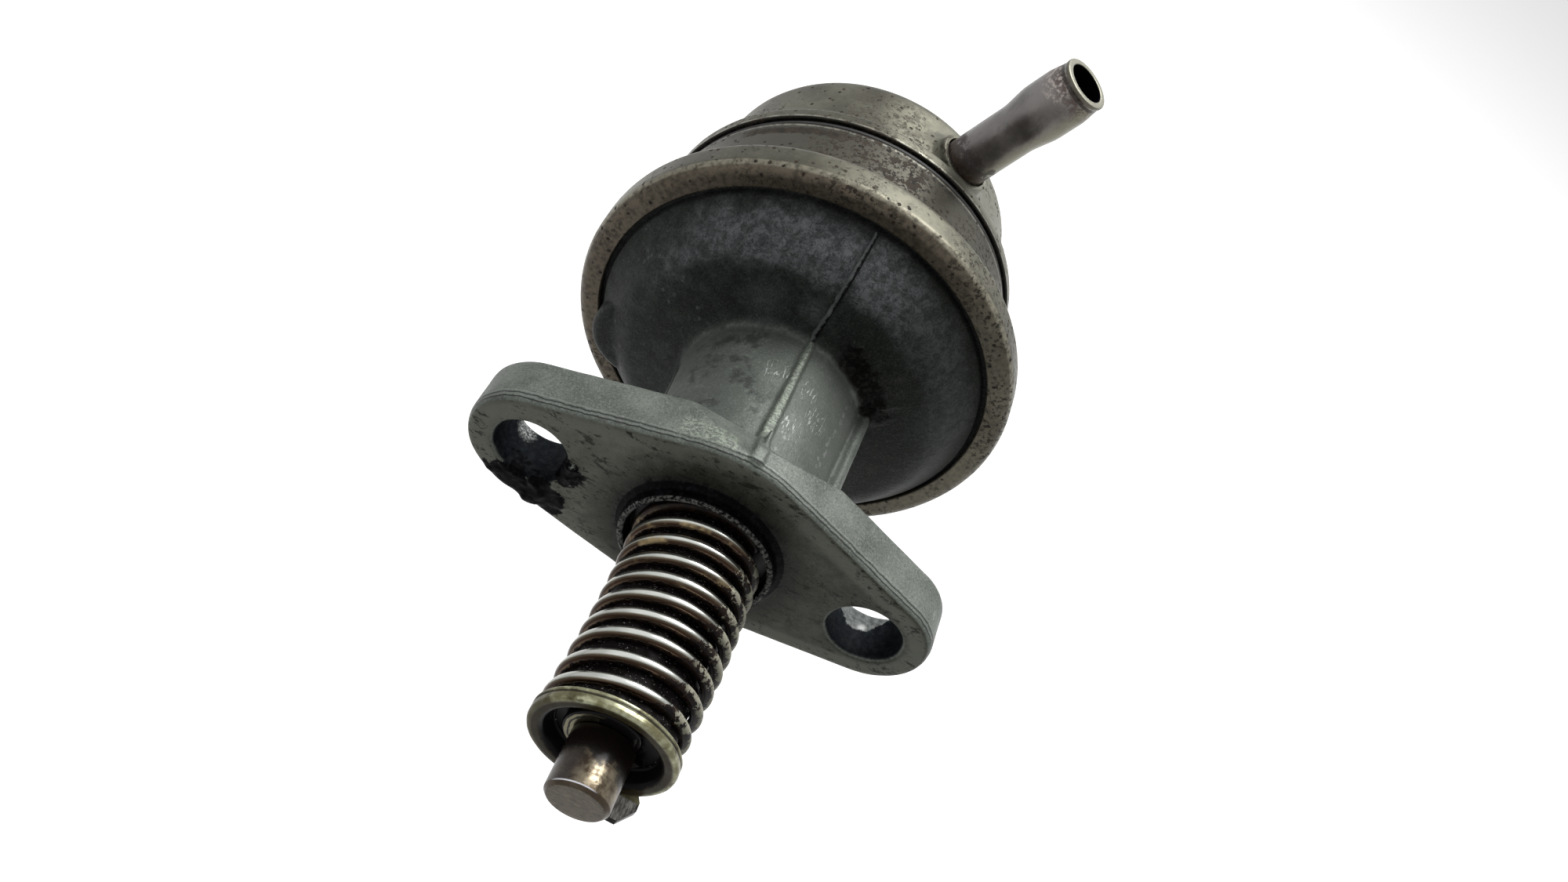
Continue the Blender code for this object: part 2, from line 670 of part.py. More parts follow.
def make_guide_pieces(frame):
    """What lines and seals the bore: sleeve, seal, its retainer and the spring washer."""
    bore = PLUNGER_RADIUS + RUNNING_GAP
    add_object(
        "guide_sleeve",
        lathe(ring_profile(bore, SLEEVE_RADIUS, -SLEEVE_PROUD, SLEEVE_DEPTH - SEAT_GAP,
                           SEAT_GAP), MEDIUM_SEGMENT_COUNT),
        frame, ((0.05, 0.045, 0.04), 0.3, 0.7))
    seal_radius = SEAL_POCKET_RADIUS - SEAT_GAP
    seal_low = SEAL_FLOOR + SEAT_GAP
    seal_high = CHAMBER_FLOOR
    lip = (seal_radius - bore) / 3
    add_object(
        "rod_seal",
        lathe([
            (bore, seal_low),
            (seal_radius, seal_low),
            (seal_radius, seal_high),
            (seal_radius - lip, seal_high),
            (seal_radius - 1.5 * lip, seal_low + (seal_high - seal_low) / 2),
            (bore + lip, seal_high),
            (bore, seal_high),
        ], MEDIUM_SEGMENT_COUNT),
        frame, ((0.03, 0.03, 0.03), 0.6, 0.0))
    retainer_low = CHAMBER_FLOOR + SEAT_GAP
    add_object(
        "seal_retainer",
        lathe(ring_profile(PLUNGER_RADIUS + 2 * SEAT_GAP, CHAMBER_RADIUS - SEAT_GAP,
                           retainer_low, retainer_low + RETAINER_THICK), MEDIUM_SEGMENT_COUNT),
        frame, ((0.45, 0.44, 0.42), 0.4, 0.9))
    add_object(
        "spring_seat_washer",
        lathe(ring_profile(SLEEVE_RADIUS + SEAT_GAP, SPIGOT_RADIUS - SPIGOT_WALL - SEAT_GAP,
                           WASHER_LOW, WASHER_LOW + SEAT_WASHER_THICK), MEDIUM_SEGMENT_COUNT),
        frame, ((0.12, 0.11, 0.1), 0.4, 0.8))


def make_plunger(frame):
    """The driven pin: chamfered tip, clip groove, collar and hollow inner end."""
    groove_low = CLIP_LOW - SEAT_GAP
    groove_high = CLIP_LOW + CLIP_THICK + SEAT_GAP
    profile = rounded([
        (0.0, -PLUNGER_TIP),
        (PLUNGER_RADIUS - TIP_CHAMFER, -PLUNGER_TIP, TIP_CHAMFER * 0.4),
        (PLUNGER_RADIUS, -PLUNGER_TIP + TIP_CHAMFER, TIP_CHAMFER * 0.4),
        (PLUNGER_RADIUS, groove_low),
        (PLUNGER_RADIUS - CLIP_GROOVE, groove_low),
        (PLUNGER_RADIUS - CLIP_GROOVE, groove_high),
        (PLUNGER_RADIUS, groove_high),
        (PLUNGER_RADIUS, COLLAR_LOW),
        (COLLAR_RADIUS, COLLAR_LOW),
        (COLLAR_RADIUS, COLLAR_TOP),
        (PLUNGER_RADIUS, COLLAR_TOP),
        (PLUNGER_RADIUS, PLUNGER_END),
        (SOCKET_RADIUS, PLUNGER_END),
        (SOCKET_RADIUS, SOCKET_FLOOR),
        (0.0, SOCKET_FLOOR),
    ])
    add_object("plunger", lathe(profile, MEDIUM_SEGMENT_COUNT), frame, ((0.32, 0.28, 0.25), 0.32, 0.95))
    retainer = ring_profile(ROD_RADIUS + SEAT_GAP, SOCKET_RADIUS - SEAT_GAP,
                            ROD_RETAINER_LOW, ROD_RETAINER_LOW + ROD_RETAINER_THICK)
    add_object("rod_retainer", lathe(retainer, SMALL_SEGMENT_COUNT), frame,
               ((0.45, 0.44, 0.42), 0.35, 0.9))


def make_spring_cup(frame):
    """Dished washer on the plunger that the return spring pushes against."""
    front = -CUP_FRONT
    dish_outer = RETURN_RADIUS - RETURN_WIRE / 2 - SEAT_GAP
    dish_inner = CUP_RADIUS - CUP_RIM
    dish_back = DISH_FRONT + CUP_SHEET
    profile = rounded([
        (PLUNGER_RADIUS + RUNNING_GAP, DISH_FRONT),
        (dish_inner - CUP_SHEET * 0.6, DISH_FRONT, CUP_SHEET * 0.5),
        (dish_inner, front, CUP_SHEET * 0.5),
        (CUP_RADIUS, front, CUP_RIM_HEIGHT * 0.45),
        (CUP_RADIUS, CUP_BACK, CUP_RIM_HEIGHT * 0.3),
        (dish_outer, CUP_BACK),
        (dish_outer, dish_back, CUP_SHEET * 0.4),
        (PLUNGER_RADIUS + RUNNING_GAP, dish_back),
    ])
    finish = ((0.42, 0.42, 0.33), 0.35, 0.85)
    cup = add_object("spring_cup", lathe(profile, MEDIUM_SEGMENT_COUNT), frame, finish)

    root = front + CUP_RIM_HEIGHT / 2
    tip = front - TONGUE_LENGTH
    slant = TONGUE_LENGTH / 2
    section = [
        (0.0, root),
        (TONGUE_WIDTH - CUP_SHEET / 2, root),
        (TONGUE_WIDTH, front),
        (TONGUE_WIDTH, front - slant * 0.7),
        (TONGUE_WIDTH - slant, tip),
        (slant / 2, tip),
    ]
    tongue = add_object("guide_tongue", loft([
        [(x, y, z) for x, z in section]
        for y in (TONGUE_OFFSET, TONGUE_OFFSET + TONGUE_THICK)
    ]), frame, finish)
    combine(cup, tongue, "UNION")


def make_retaining_clip(frame):
    """Open spring ring in the plunger's groove, in front of the cup."""
    inner = PLUNGER_RADIUS - CLIP_GROOVE + SEAT_GAP
    rings = []
    steps = 26
    mouth_at = math.radians(-20.0)
    for step in range(steps + 1):
        angle = mouth_at + CLIP_MOUTH / 2 + (2 * math.pi - CLIP_MOUTH) * step / steps
        ring = []
        for radius, level in (
            (inner, CLIP_LOW),
            (CLIP_RADIUS, CLIP_LOW),
            (CLIP_RADIUS, CLIP_LOW + CLIP_THICK),
            (inner, CLIP_LOW + CLIP_THICK),
        ):
            ring.append((radius * math.cos(angle), radius * math.sin(angle), level))
        rings.append(ring)
    add_object("retaining_clip", loft(rings), frame, ((0.55, 0.54, 0.45), 0.3, 0.9))


def make_springs(frame):
    """The return spring outside and the delivery spring inside."""
    add_object(
        "return_spring",
        coil(RETURN_RADIUS, RETURN_WIRE / 2, CUP_BACK + SEAT_GAP, WASHER_LOW - SEAT_GAP,
             RETURN_TURNS, 12, 5, RETURN_WIRE * 1.12),
        frame, ((0.5, 0.47, 0.44), 0.25, 0.95))
    add_object(
        "delivery_spring",
        coil(DELIVERY_RADIUS, DELIVERY_WIRE / 2, COLLAR_TOP + SEAT_GAP,
             LOWER_PLATE_LOW - SEAT_GAP, DELIVERY_TURNS, 12, 5, DELIVERY_WIRE * 1.15),
        frame, ((0.4, 0.4, 0.4), 0.35, 0.9))


def make_diaphragm_stack(frame):
    """Diaphragm clamped at its rim, two plates, and the headed rod that pulls it."""
    mouth = bowl_corners()[0]
    hole = STUD_RADIUS + SEAT_GAP
    steps = 6
    fold_start = PLATE_RADIUS + DIAPHRAGM_THICK / 2
    fold_end = mouth - SEAT_GAP
    lift = CLAMP_LOW - CENTRE_LOW
    lower = [(hole, CENTRE_LOW), (fold_start, CENTRE_LOW)]
    for step in range(1, steps):
        share = step / steps
        lower.append((
            fold_start + (fold_end - fold_start) * share,
            CENTRE_LOW + lift * (1 - math.cos(math.pi * share)) / 2,
        ))
    lower.append((fold_end, CLAMP_LOW))
    lower.append((RIM_RADIUS, CLAMP_LOW))
    upper = [(radius, level + DIAPHRAGM_THICK) for radius, level in reversed(lower)]
    add_object("diaphragm", lathe(lower + upper, MEDIUM_SEGMENT_COUNT), frame,
               ((0.02, 0.02, 0.02), 0.7, 0.0))

    plate_metal = ((0.5, 0.5, 0.48), 0.4, 0.9)
    for name, low in (("lower_plate", LOWER_PLATE_LOW), ("upper_plate", UPPER_PLATE_LOW)):
        add_object(
            name,
            lathe(ring_profile(hole, PLATE_RADIUS, low, low + PLATE_THICK, PLATE_THICK * 0.3),
                  MEDIUM_SEGMENT_COUNT),
            frame, plate_metal)

    shoulder = LOWER_PLATE_LOW - SEAT_GAP
    stud_top = NUT_LOW + NUT_THICK + SEAT_GAP * 2
    head_radius = SOCKET_RADIUS - SEAT_GAP
    rod = rounded([
        (0.0, ROD_HEAD_TOP - ROD_HEAD_THICK),
        (head_radius, ROD_HEAD_TOP - ROD_HEAD_THICK, SEAT_GAP),
        (head_radius, ROD_HEAD_TOP),
        (ROD_RADIUS, ROD_HEAD_TOP),
        (ROD_RADIUS, shoulder),
        (STUD_RADIUS, shoulder),
        (STUD_RADIUS, stud_top),
        (0.0, stud_top),
    ])
    add_object("pull_rod", lathe(rod, SMALL_SEGMENT_COUNT), frame, plate_metal)

    nut_rings = []
    for radius, level in (
        (STUD_RADIUS + RUNNING_GAP, NUT_LOW),
        (NUT_RADIUS, NUT_LOW),
        (NUT_RADIUS, NUT_LOW + NUT_THICK),
        (STUD_RADIUS + RUNNING_GAP, NUT_LOW + NUT_THICK),
    ):
        nut_rings.append([
            (radius * math.cos(math.radians(15 * step)) * (
                1.0 if radius < NUT_RADIUS
                else math.cos(math.pi / 6) / math.cos(math.radians((15 * step) % 60 - 30))),
             radius * math.sin(math.radians(15 * step)) * (
                1.0 if radius < NUT_RADIUS
                else math.cos(math.pi / 6) / math.cos(math.radians((15 * step) % 60 - 30))),
             level)
            for step in range(24)
        ])
    add_object("rod_nut", loft(nut_rings, closed=True), frame, plate_metal)


def make_drum(frame):
    """Pressed drum whose lower edge is crimped round the casting and the diaphragm."""
    inner_wall = DRUM_RADIUS - SHEET
    neck_inner = DRUM_NECK - SHEET
    opening = COVER_RADIUS + SEAT_GAP
    neck_top = BAND_TOP - SHEET - SEAT_GAP
    hollow = BEAD_ROUND - SHEET
    profile = rounded([
        (LIP_RADIUS, LIP_LEVEL, SHEET * 0.4),
        (BEAD_RADIUS, LIP_LEVEL, BEAD_ROUND),
        (BEAD_RADIUS, BEAD_TOP, BEAD_ROUND),
        (DRUM_RADIUS, BEAD_TOP, SHEET),
        (DRUM_RADIUS, DRUM_TOP, SHEET * 0.6),
        (DRUM_NECK, DRUM_TOP),
        (DRUM_NECK, neck_top, SHEET * 0.6),
        (opening, neck_top),
        (opening, neck_top - SHEET),
        (neck_inner, neck_top - SHEET),
        (neck_inner, DRUM_TOP - SHEET),
        (inner_wall, DRUM_TOP - SHEET),
        (inner_wall, BEAD_TOP - SHEET),
        (BEAD_RADIUS - SHEET, BEAD_TOP - SHEET, hollow),
        (BEAD_RADIUS - SHEET, LIP_LEVEL + SHEET, hollow),
        (LIP_RADIUS, LIP_LEVEL + SHEET, SHEET * 0.4),
    ])
    add_object("drum_shell", lathe(profile, LARGE_SEGMENT_COUNT), frame,
               ((0.44, 0.43, 0.37), 0.42, 0.8))
    gasket = ring_profile(DRUM_NECK + SEAT_GAP / 2, DRUM_RADIUS - SEAT_GAP / 2,
                          DRUM_TOP + SEAT_GAP / 2, BAND_LOW - SEAT_GAP / 2)
    add_object("cover_gasket", lathe(gasket, LARGE_SEGMENT_COUNT), frame, ((0.02, 0.02, 0.02), 0.7, 0.0))


def make_cover(frame):
    """Pressed cap with a collar drawn out for each pipe."""
    finish = ((0.44, 0.43, 0.38), 0.42, 0.8)
    skirt_inner = BAND_RADIUS - SHEET
    profile = rounded([
        (skirt_inner, BAND_LOW),
        (BAND_RADIUS, BAND_LOW, SHEET * 0.4),
        (BAND_RADIUS, BAND_TOP, SHEET),
        (COVER_RADIUS, BAND_TOP, SHEET),
        (COVER_RADIUS, COVER_TOP, COVER_ROUND),
        (0.0, COVER_TOP),
        (0.0, COVER_TOP - SHEET),
        (COVER_INSIDE, COVER_TOP - SHEET, COVER_ROUND - SHEET),
        (COVER_INSIDE, BAND_TOP - SHEET),
        (skirt_inner, BAND_TOP - SHEET),
    ])
    cover = add_object("top_cover", lathe(profile, LARGE_SEGMENT_COUNT), frame, finish)

    hole = PIPE_RADIUS + SEAT_GAP
    base = hole + COLLAR_WALL * 1.6
    start = math.sqrt(COVER_RADIUS ** 2 - base ** 2) - SHEET / 8
    collars = []
    for angle in (PIPE_ANGLE, PIPE_ANGLE + math.pi):
        collar = lathe(rounded([
            (0.0, start),
            (base, start),
            (hole + COLLAR_WALL, COVER_RADIUS + COLLAR_PROUD / 2),
            (hole + COLLAR_WALL, COVER_RADIUS + COLLAR_PROUD, SEAT_GAP),
            (0.0, COVER_RADIUS + COLLAR_PROUD),
        ]), MEDIUM_SEGMENT_COUNT)
        bmesh.ops.transform(collar, matrix=radial_matrix(angle, PIPE_LEVEL), verts=collar.verts)
        collars.append(collar)
    collar_guide = add_object("guide_collars", join_shapes(collars), frame, finish)
    combine(cover, collar_guide, "UNION")

    reach = COVER_RADIUS + COLLAR_PROUD * 2
    through = lathe([(0.0, -reach), (hole, -reach), (hole, reach), (0.0, reach)], MEDIUM_SEGMENT_COUNT)
    bmesh.ops.transform(through, matrix=radial_matrix(PIPE_ANGLE, PIPE_LEVEL), verts=through.verts)
    combine(cover, add_object("guide_pipe_hole", through, frame, finish), "DIFFERENCE")


def make_pipe(name, angle, frame):
    """Steel hose pipe: flared inside the cover, swelled near its open end."""
    bore = PIPE_RADIUS - PIPE_WALL
    flare = PIPE_RADIUS + PIPE_WALL
    seat = math.sqrt(COVER_INSIDE ** 2 - flare ** 2) - SEAT_GAP
    bulge = PIPE_RADIUS + PIPE_BULGE
    bulge_start = PIPE_REACH - BULGE_LENGTH
    profile = rounded([
        (bore, seat - PIPE_WALL),
        (flare, seat - PIPE_WALL),
        (flare, seat),
        (PIPE_RADIUS, seat),
        (PIPE_RADIUS, bulge_start, BULGE_LENGTH * 0.4),
        (bulge, bulge_start + BULGE_LENGTH * 0.27, BULGE_LENGTH * 0.4),
        (bulge, PIPE_REACH - BULGE_LENGTH * 0.32, BULGE_LENGTH * 0.4),
        (PIPE_RADIUS + PIPE_LIP * 0.7, PIPE_REACH - BULGE_LENGTH * 0.13, BULGE_LENGTH * 0.2),
        (PIPE_RADIUS + PIPE_LIP, PIPE_REACH, PIPE_WALL * 0.3),
        (bore, PIPE_REACH),
    ], most_steps=2)
    pipe = lathe(profile, MEDIUM_SEGMENT_COUNT)
    add_object(name, pipe, frame, ((0.4, 0.37, 0.37), 0.38, 0.9),
               location=(0, 0, PIPE_LEVEL), rotation=(0, math.pi / 2, angle))


def make_housing(frame):
    """Valve housing: a disc with two rings of ports, and the wall between the chambers."""
    finish = ((0.42, 0.43, 0.43), 0.5, 0.6)
    disc_radius = DRUM_NECK - SHEET - SEAT_GAP
    housing = add_object("valve_housing", lathe([
        (0.0, HOUSING_LOW),
        (disc_radius, HOUSING_LOW),
        (disc_radius, HOUSING_TOP),
        (0.0, HOUSING_TOP),
    ], LARGE_SEGMENT_COUNT), frame, finish, rotation=(0, 0, PIPE_ANGLE))

    half = COVER_INSIDE - SEAT_GAP
    top = COVER_TOP - SHEET - SEAT_GAP
    foot = HOUSING_TOP - HOUSING_THICK / 4
    outline = [(-half, foot), (half, foot), (half, top - COVER_ROUND),
               (half - COVER_ROUND, top), (COVER_ROUND - half, top), (-half, top - COVER_ROUND)]
    wall = add_object("guide_divider", loft([
        [(x, y, z) for y, z in outline]
        for x in (-DIVIDER_THICK / 2, DIVIDER_THICK / 2)
    ]), frame, finish, rotation=(0, 0, PIPE_ANGLE))
    combine(housing, wall, "UNION")

    ports = []
    for side in (-1, 1):
        for number in range(PORT_COUNT):
            angle = 2 * math.pi * number / PORT_COUNT
            port = lathe([
                (0.0, HOUSING_LOW - PORT_RADIUS),
                (PORT_RADIUS, HOUSING_LOW - PORT_RADIUS),
                (PORT_RADIUS, HOUSING_TOP + PORT_RADIUS),
                (0.0, HOUSING_TOP + PORT_RADIUS),
            ], 6)
            shift = (side * VALVE_OFFSET + PORT_CIRCLE * math.cos(angle),
                     PORT_CIRCLE * math.sin(angle), 0.0)
            bmesh.ops.translate(port, verts=port.verts, vec=shift)
            ports.append(port)
    port_guide = add_object("guide_ports", join_shapes(ports), frame, finish,
                            rotation=(0, 0, PIPE_ANGLE))
    combine(housing, port_guide, "DIFFERENCE")


def make_valve(name, side, frame):
    """One check valve: rubber disc, light spring and the cage that guides both."""
    level = HOUSING_TOP if side > 0 else HOUSING_LOW
    place = (side * VALVE_OFFSET * math.cos(PIPE_ANGLE),
             side * VALVE_OFFSET * math.sin(PIPE_ANGLE), level)
    turn = (0, 0, 0) if side > 0 else (math.pi, 0, 0)
    seat = make_empty(name + "_axis", frame, place, turn)
    disc_top = SEAT_GAP + VALVE_THICK
    add_object(
        name + "_disc",
        lathe(ring_profile(VALVE_PIN + SEAT_GAP, VALVE_RADIUS, SEAT_GAP, disc_top), SMALL_SEGMENT_COUNT),
        seat, ((0.05, 0.05, 0.05), 0.6, 0.0))
    roof = CAGE_HEIGHT - CAGE_SHEET
    inside = CAGE_RADIUS - CAGE_SHEET
    cage = add_object(name + "_cage", lathe([
        (0.0, CAGE_HEIGHT),
        (CAGE_RADIUS, CAGE_HEIGHT),
        (CAGE_RADIUS, SEAT_GAP + CAGE_SHEET),
        (CAGE_RADIUS + CAGE_FOOT, SEAT_GAP + CAGE_SHEET),
        (CAGE_RADIUS + CAGE_FOOT, SEAT_GAP),
        (inside, SEAT_GAP),
        (inside, roof),
        (VALVE_PIN, roof),
        (VALVE_PIN, 2 * SEAT_GAP),
        (0.0, 2 * SEAT_GAP),
    ], SMALL_SEGMENT_COUNT), seat, ((0.5, 0.45, 0.3), 0.35, 0.9))
    window = CAGE_RADIUS / 4
    reach = CAGE_RADIUS * 1.5
    low, high = roof * 0.4, roof * 0.85
    across = box((-reach, -window, low), (-VALVE_SPRING_RADIUS * 1.6, window, high))
    opposite = box((VALVE_SPRING_RADIUS * 1.6, -window, low), (reach, window, high))
    windows = add_object("guide_" + name + "_windows", join_shapes([across, opposite]), seat,
                         ((0.5, 0.45, 0.3), 0.35, 0.9))
    combine(cage, windows, "DIFFERENCE")
    add_object(
        name + "_spring",
        coil(VALVE_SPRING_RADIUS, VALVE_WIRE / 2, disc_top + SEAT_GAP / 2, roof - SEAT_GAP / 2,
             VALVE_SPRING_TURNS, 10, 4, VALVE_WIRE * 1.3),
        seat, ((0.5, 0.5, 0.5), 0.3, 0.9))


def make_strainer(frame):
    """Thimble-shaped strainer over the inlet ports."""
    finish = ((0.5, 0.42, 0.25), 0.4, 0.9)
    place = (-VALVE_OFFSET * math.cos(PIPE_ANGLE), -VALVE_OFFSET * math.sin(PIPE_ANGLE),
             HOUSING_TOP)
    wall = CAGE_SHEET
    strainer = add_object("strainer", lathe([
        (0.0, STRAINER_HEIGHT),
        (STRAINER_RADIUS, STRAINER_HEIGHT),
        (STRAINER_RADIUS, SEAT_GAP + wall),
        (STRAINER_RADIUS + wall, SEAT_GAP + wall),
        (STRAINER_RADIUS + wall, SEAT_GAP),
        (STRAINER_RADIUS - wall, SEAT_GAP),
        (STRAINER_RADIUS - wall, STRAINER_HEIGHT - wall),
        (0.0, STRAINER_HEIGHT - wall),
    ], MEDIUM_SEGMENT_COUNT), frame, finish, location=place)
    slots = []
    low, high = SEAT_GAP + 2 * wall, STRAINER_HEIGHT - 2 * wall
    half = STRAINER_RADIUS / STRAINER_SLOTS / 3
    for number in range(STRAINER_SLOTS):
        slot = box((STRAINER_RADIUS / 2, -half, low), (STRAINER_RADIUS * 1.4, half, high))
        turn = Matrix.Rotation(2 * math.pi * number / STRAINER_SLOTS, 4, "Z")
        bmesh.ops.transform(slot, matrix=turn, verts=slot.verts)
        slots.append(slot)
    guide = add_object("guide_strainer_slots", join_shapes(slots), frame, finish, location=place)
    combine(strainer, guide, "DIFFERENCE")


def main():
    clear_scene()
    frame = make_empty("pump_frame", rotation=(-math.pi / 2, 0, 0))
    plunger_axis = make_empty("plunger_axis", frame)
    make_pump_body(frame)
    make_guide_pieces(frame)
    make_plunger(plunger_axis)
    make_spring_cup(plunger_axis)
    make_retaining_clip(plunger_axis)
    make_springs(frame)
    make_diaphragm_stack(frame)
    make_drum(frame)
    make_cover(frame)
    make_pipe("outlet_pipe", PIPE_ANGLE, frame)
    make_pipe("inlet_pipe", PIPE_ANGLE + math.pi, frame)
    make_housing(frame)
    make_valve("outlet_valve", 1, frame)
    make_valve("inlet_valve", -1, frame)
    make_strainer(frame)


main()
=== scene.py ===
"""The looks of the plunger-driven fuel pump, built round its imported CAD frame.

Shapes are written in the pump's own frame, in millimetres: +Z from the plunger to
the cap, +X through the bolt holes, z = 0 at the flange's front face. placed() turns
them into the scene's metres, where the pump's +Z is +Y and its -Y is +Z.
"""

import functools
import math

import bmesh
import bpy
import numpy as np
from mathutils import Matrix, Vector

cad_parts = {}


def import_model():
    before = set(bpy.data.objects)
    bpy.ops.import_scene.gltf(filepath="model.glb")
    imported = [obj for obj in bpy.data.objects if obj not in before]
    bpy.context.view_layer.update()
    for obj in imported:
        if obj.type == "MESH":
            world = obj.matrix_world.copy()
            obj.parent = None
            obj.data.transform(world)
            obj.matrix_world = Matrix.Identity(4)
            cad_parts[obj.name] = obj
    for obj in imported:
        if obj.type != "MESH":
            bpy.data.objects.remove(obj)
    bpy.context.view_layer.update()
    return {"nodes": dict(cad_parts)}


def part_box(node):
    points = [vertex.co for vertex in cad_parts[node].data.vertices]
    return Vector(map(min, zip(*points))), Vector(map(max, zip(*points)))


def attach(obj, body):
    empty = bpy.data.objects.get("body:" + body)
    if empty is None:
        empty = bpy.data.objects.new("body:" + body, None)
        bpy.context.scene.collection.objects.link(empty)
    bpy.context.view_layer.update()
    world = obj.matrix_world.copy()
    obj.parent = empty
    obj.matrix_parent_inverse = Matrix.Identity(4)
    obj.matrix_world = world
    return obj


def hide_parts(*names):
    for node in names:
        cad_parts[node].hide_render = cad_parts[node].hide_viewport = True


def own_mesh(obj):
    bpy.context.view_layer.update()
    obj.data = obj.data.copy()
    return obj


MM = 0.001
GAP = 0.3
RUNNING_GAP = 0.12
SHEET = 0.8

# Flange, neck and bell
FLANGE_THICK = 7.5
HOLE_OFFSET = 24.2
HOLE_RADIUS = 5.0
EAR_RADIUS = 8.9
WAIST_FRONT = 17.8
WAIST_BACK = 14.2
SPIGOT_RADIUS = 10.5
SPIGOT_WALL = 0.9
SPIGOT_PROUD = 2.0
NECK_RADIUS = 12.4
NECK_TOP_RADIUS = 13.2
NECK_TOP = 29.4
BELL_LEVEL = 31.2
BELL_RADIUS = 28.6
LIP_LEVEL = 37.0
BOSS_ANGLE = math.radians(157.5)
RIDGE_OFFSET = 0.7

# Shell
BEAD_RADIUS = 33.0
BEAD_TOP = 43.0
LIP_RADIUS = 29.4
DRUM_RADIUS = 28.1
DRUM_TOP = 56.4
DRUM_NECK = 27.4
BAND_RADIUS = 28.5
BAND_LOW = 57.3
BAND_TOP = 60.2
COVER_RADIUS = 24.5
COVER_TOP = 77.0
PIPE_LEVEL = 67.4
PIPE_ANGLE = math.radians(-70.0)
PIPE_RADIUS = 3.75
PIPE_SEAT = 22.9
PIPE_REACH = 48.3

# Plunger side
PLUNGER_RADIUS = 3.9
SLEEVE_RADIUS = 6.0
CUP_RADIUS = 9.1
CUP_FRONT = -31.4
CUP_BACK = -29.7
DISH_FRONT = -29.2
CLIP_LOW = -30.3
CLIP_HIGH = -29.5
TIP = -38.4
SLEEVE_LOW = -17.0
SLEEVE_HIGH = 12.0
WASHER_RADIUS = 9.3
WASHER_LOW = 1.1
WASHER_HIGH = 1.9

# Segments round the axis, and the radius below which a point lies on it
LARGE = 224
CAST = 160
MEDIUM = 128
SMALL = 96
AXIS = 1e-6

# Degrees above which an edge looks sharp
EDGE = 35.0
CUP_EDGE = 40.0
SPRING_EDGE = 60.0

# Colours that come back
OIL = (0.012, 0.01, 0.01)
CAKED_OIL_AND_SHADE = (0.012, 0.012, 0.01)


# Shape helpers
def placed(points):
    """Pump millimetres to the scene's metres."""
    p = np.asarray(points, float)
    return np.stack([p[:, 0], p[:, 2], -p[:, 1]], 1) * MM


def value_noise(points, size, seed):
    """Smooth noise from -1 to 1 at points in millimetres, one lump every `size`."""
    p = np.asarray(points, float) / size
    base = np.floor(p).astype(np.int64)
    f = p - base
    f = f * f * (3 - 2 * f)
    total = np.zeros(len(p))
    for corner in range(8):
        step = np.array([corner & 1, corner >> 1 & 1, corner >> 2 & 1])
        cell = base + step
        h = cell[:, 0] * 73856093 ^ cell[:, 1] * 19349663 ^ cell[:, 2] * 83492791 ^ (seed * 40503)
        h = (h ^ (h >> 13)) * 1274126177
        share = np.where(step == 1, f, 1 - f).prod(1)
        total += share * (((h ^ (h >> 16)) & 0xFFFF) / 32767.5 - 1)
    return total


def layered(points, size, seed, layers):
    """value_noise() with finer layers on top, each half as strong."""
    total = np.zeros(len(points))
    weight, whole = 1.0, 0.0
    for layer in range(layers):
        total += weight * value_noise(points, size / 2 ** layer, seed + layer)
        whole += weight
        weight *= 0.5
    return total / whole


def smooth_step(value, low, high):
    t = np.clip((value - low) / (high - low), 0, 1)
    return t * t * (3 - 2 * t)


def rounded(corners, step=math.radians(8.0)):
    """Corners (x, y, radius) into points, with fine arcs at the round ones."""
    points = []
    for index, corner in enumerate(corners):
        here = Vector(corner[:2])
        radius = corner[2] if len(corner) > 2 else 0.0
        before = Vector(corners[index - 1][:2]) - here
        after = Vector(corners[(index + 1) % len(corners)][:2]) - here
        plain = radius <= 0.0 or before.length < AXIS or after.length < AXIS
        half = 0.0 if plain else before.angle(after) / 2
        if plain or half > math.pi / 2 - 0.01:
            points.append(tuple(here))
            continue
        reach = min(radius / math.tan(half), 0.49 * before.length, 0.49 * after.length)
        radius = reach * math.tan(half)
        centre = here + (before.normalized() + after.normalized()).normalized() * (
            radius / math.sin(half))
        arm = here + before.normalized() * reach - centre
        sweep = math.pi - 2 * half
        turn = 1.0 if before.cross(after) < 0 else -1.0
        steps = max(2, math.ceil(sweep / step))
        for number in range(steps + 1):
            angle = turn * sweep * number / steps
            cos, sin = math.cos(angle), math.sin(angle)
            points.append((centre.x + arm.x * cos - arm.y * sin,
                           centre.y + arm.x * sin + arm.y * cos))
    return points


def divided(path, longest, closed=True):
    """Adds points so that no side of a path is longer than `longest`."""
    points = []
    for here, after in zip(path, path[1:] + path[:1] if closed else path[1:]):
        points.append(here)
        if max(here[0], after[0]) < AXIS:
            continue
        parts = math.ceil(math.dist(here, after) / longest)
        for step in range(1, parts):
            share = step / parts
            points.append((here[0] + (after[0] - here[0]) * share,
                           here[1] + (after[1] - here[1]) * share))
    return points if closed else [*points, path[-1]]


def lathe(profile, segments):
    """Verts and faces of a closed profile of (radius, height) spun about the axis."""
    verts, faces, rings = [], [], []
    for radius, height in profile:
        if radius < AXIS:
            rings.append([len(verts)])
            verts.append((0.0, 0.0, height))
            continue
        rings.append(list(range(len(verts), len(verts) + segments)))
        for step in range(segments):
            angle = 2 * math.pi * step / segments
            verts.append((radius * math.cos(angle), radius * math.sin(angle), height))
    for lower, upper in zip(rings, rings[1:] + rings[:1]):
        if len(lower) == 1 and len(upper) == 1:
            continue
        for step in range(segments):
            after = (step + 1) % segments
            if len(lower) == 1:
                faces.append((lower[0], upper[after], upper[step]))
            elif len(upper) == 1:
                faces.append((lower[step], lower[after], upper[0]))
            else:
                faces.append((lower[step], lower[after], upper[after], upper[step]))
    return verts, faces


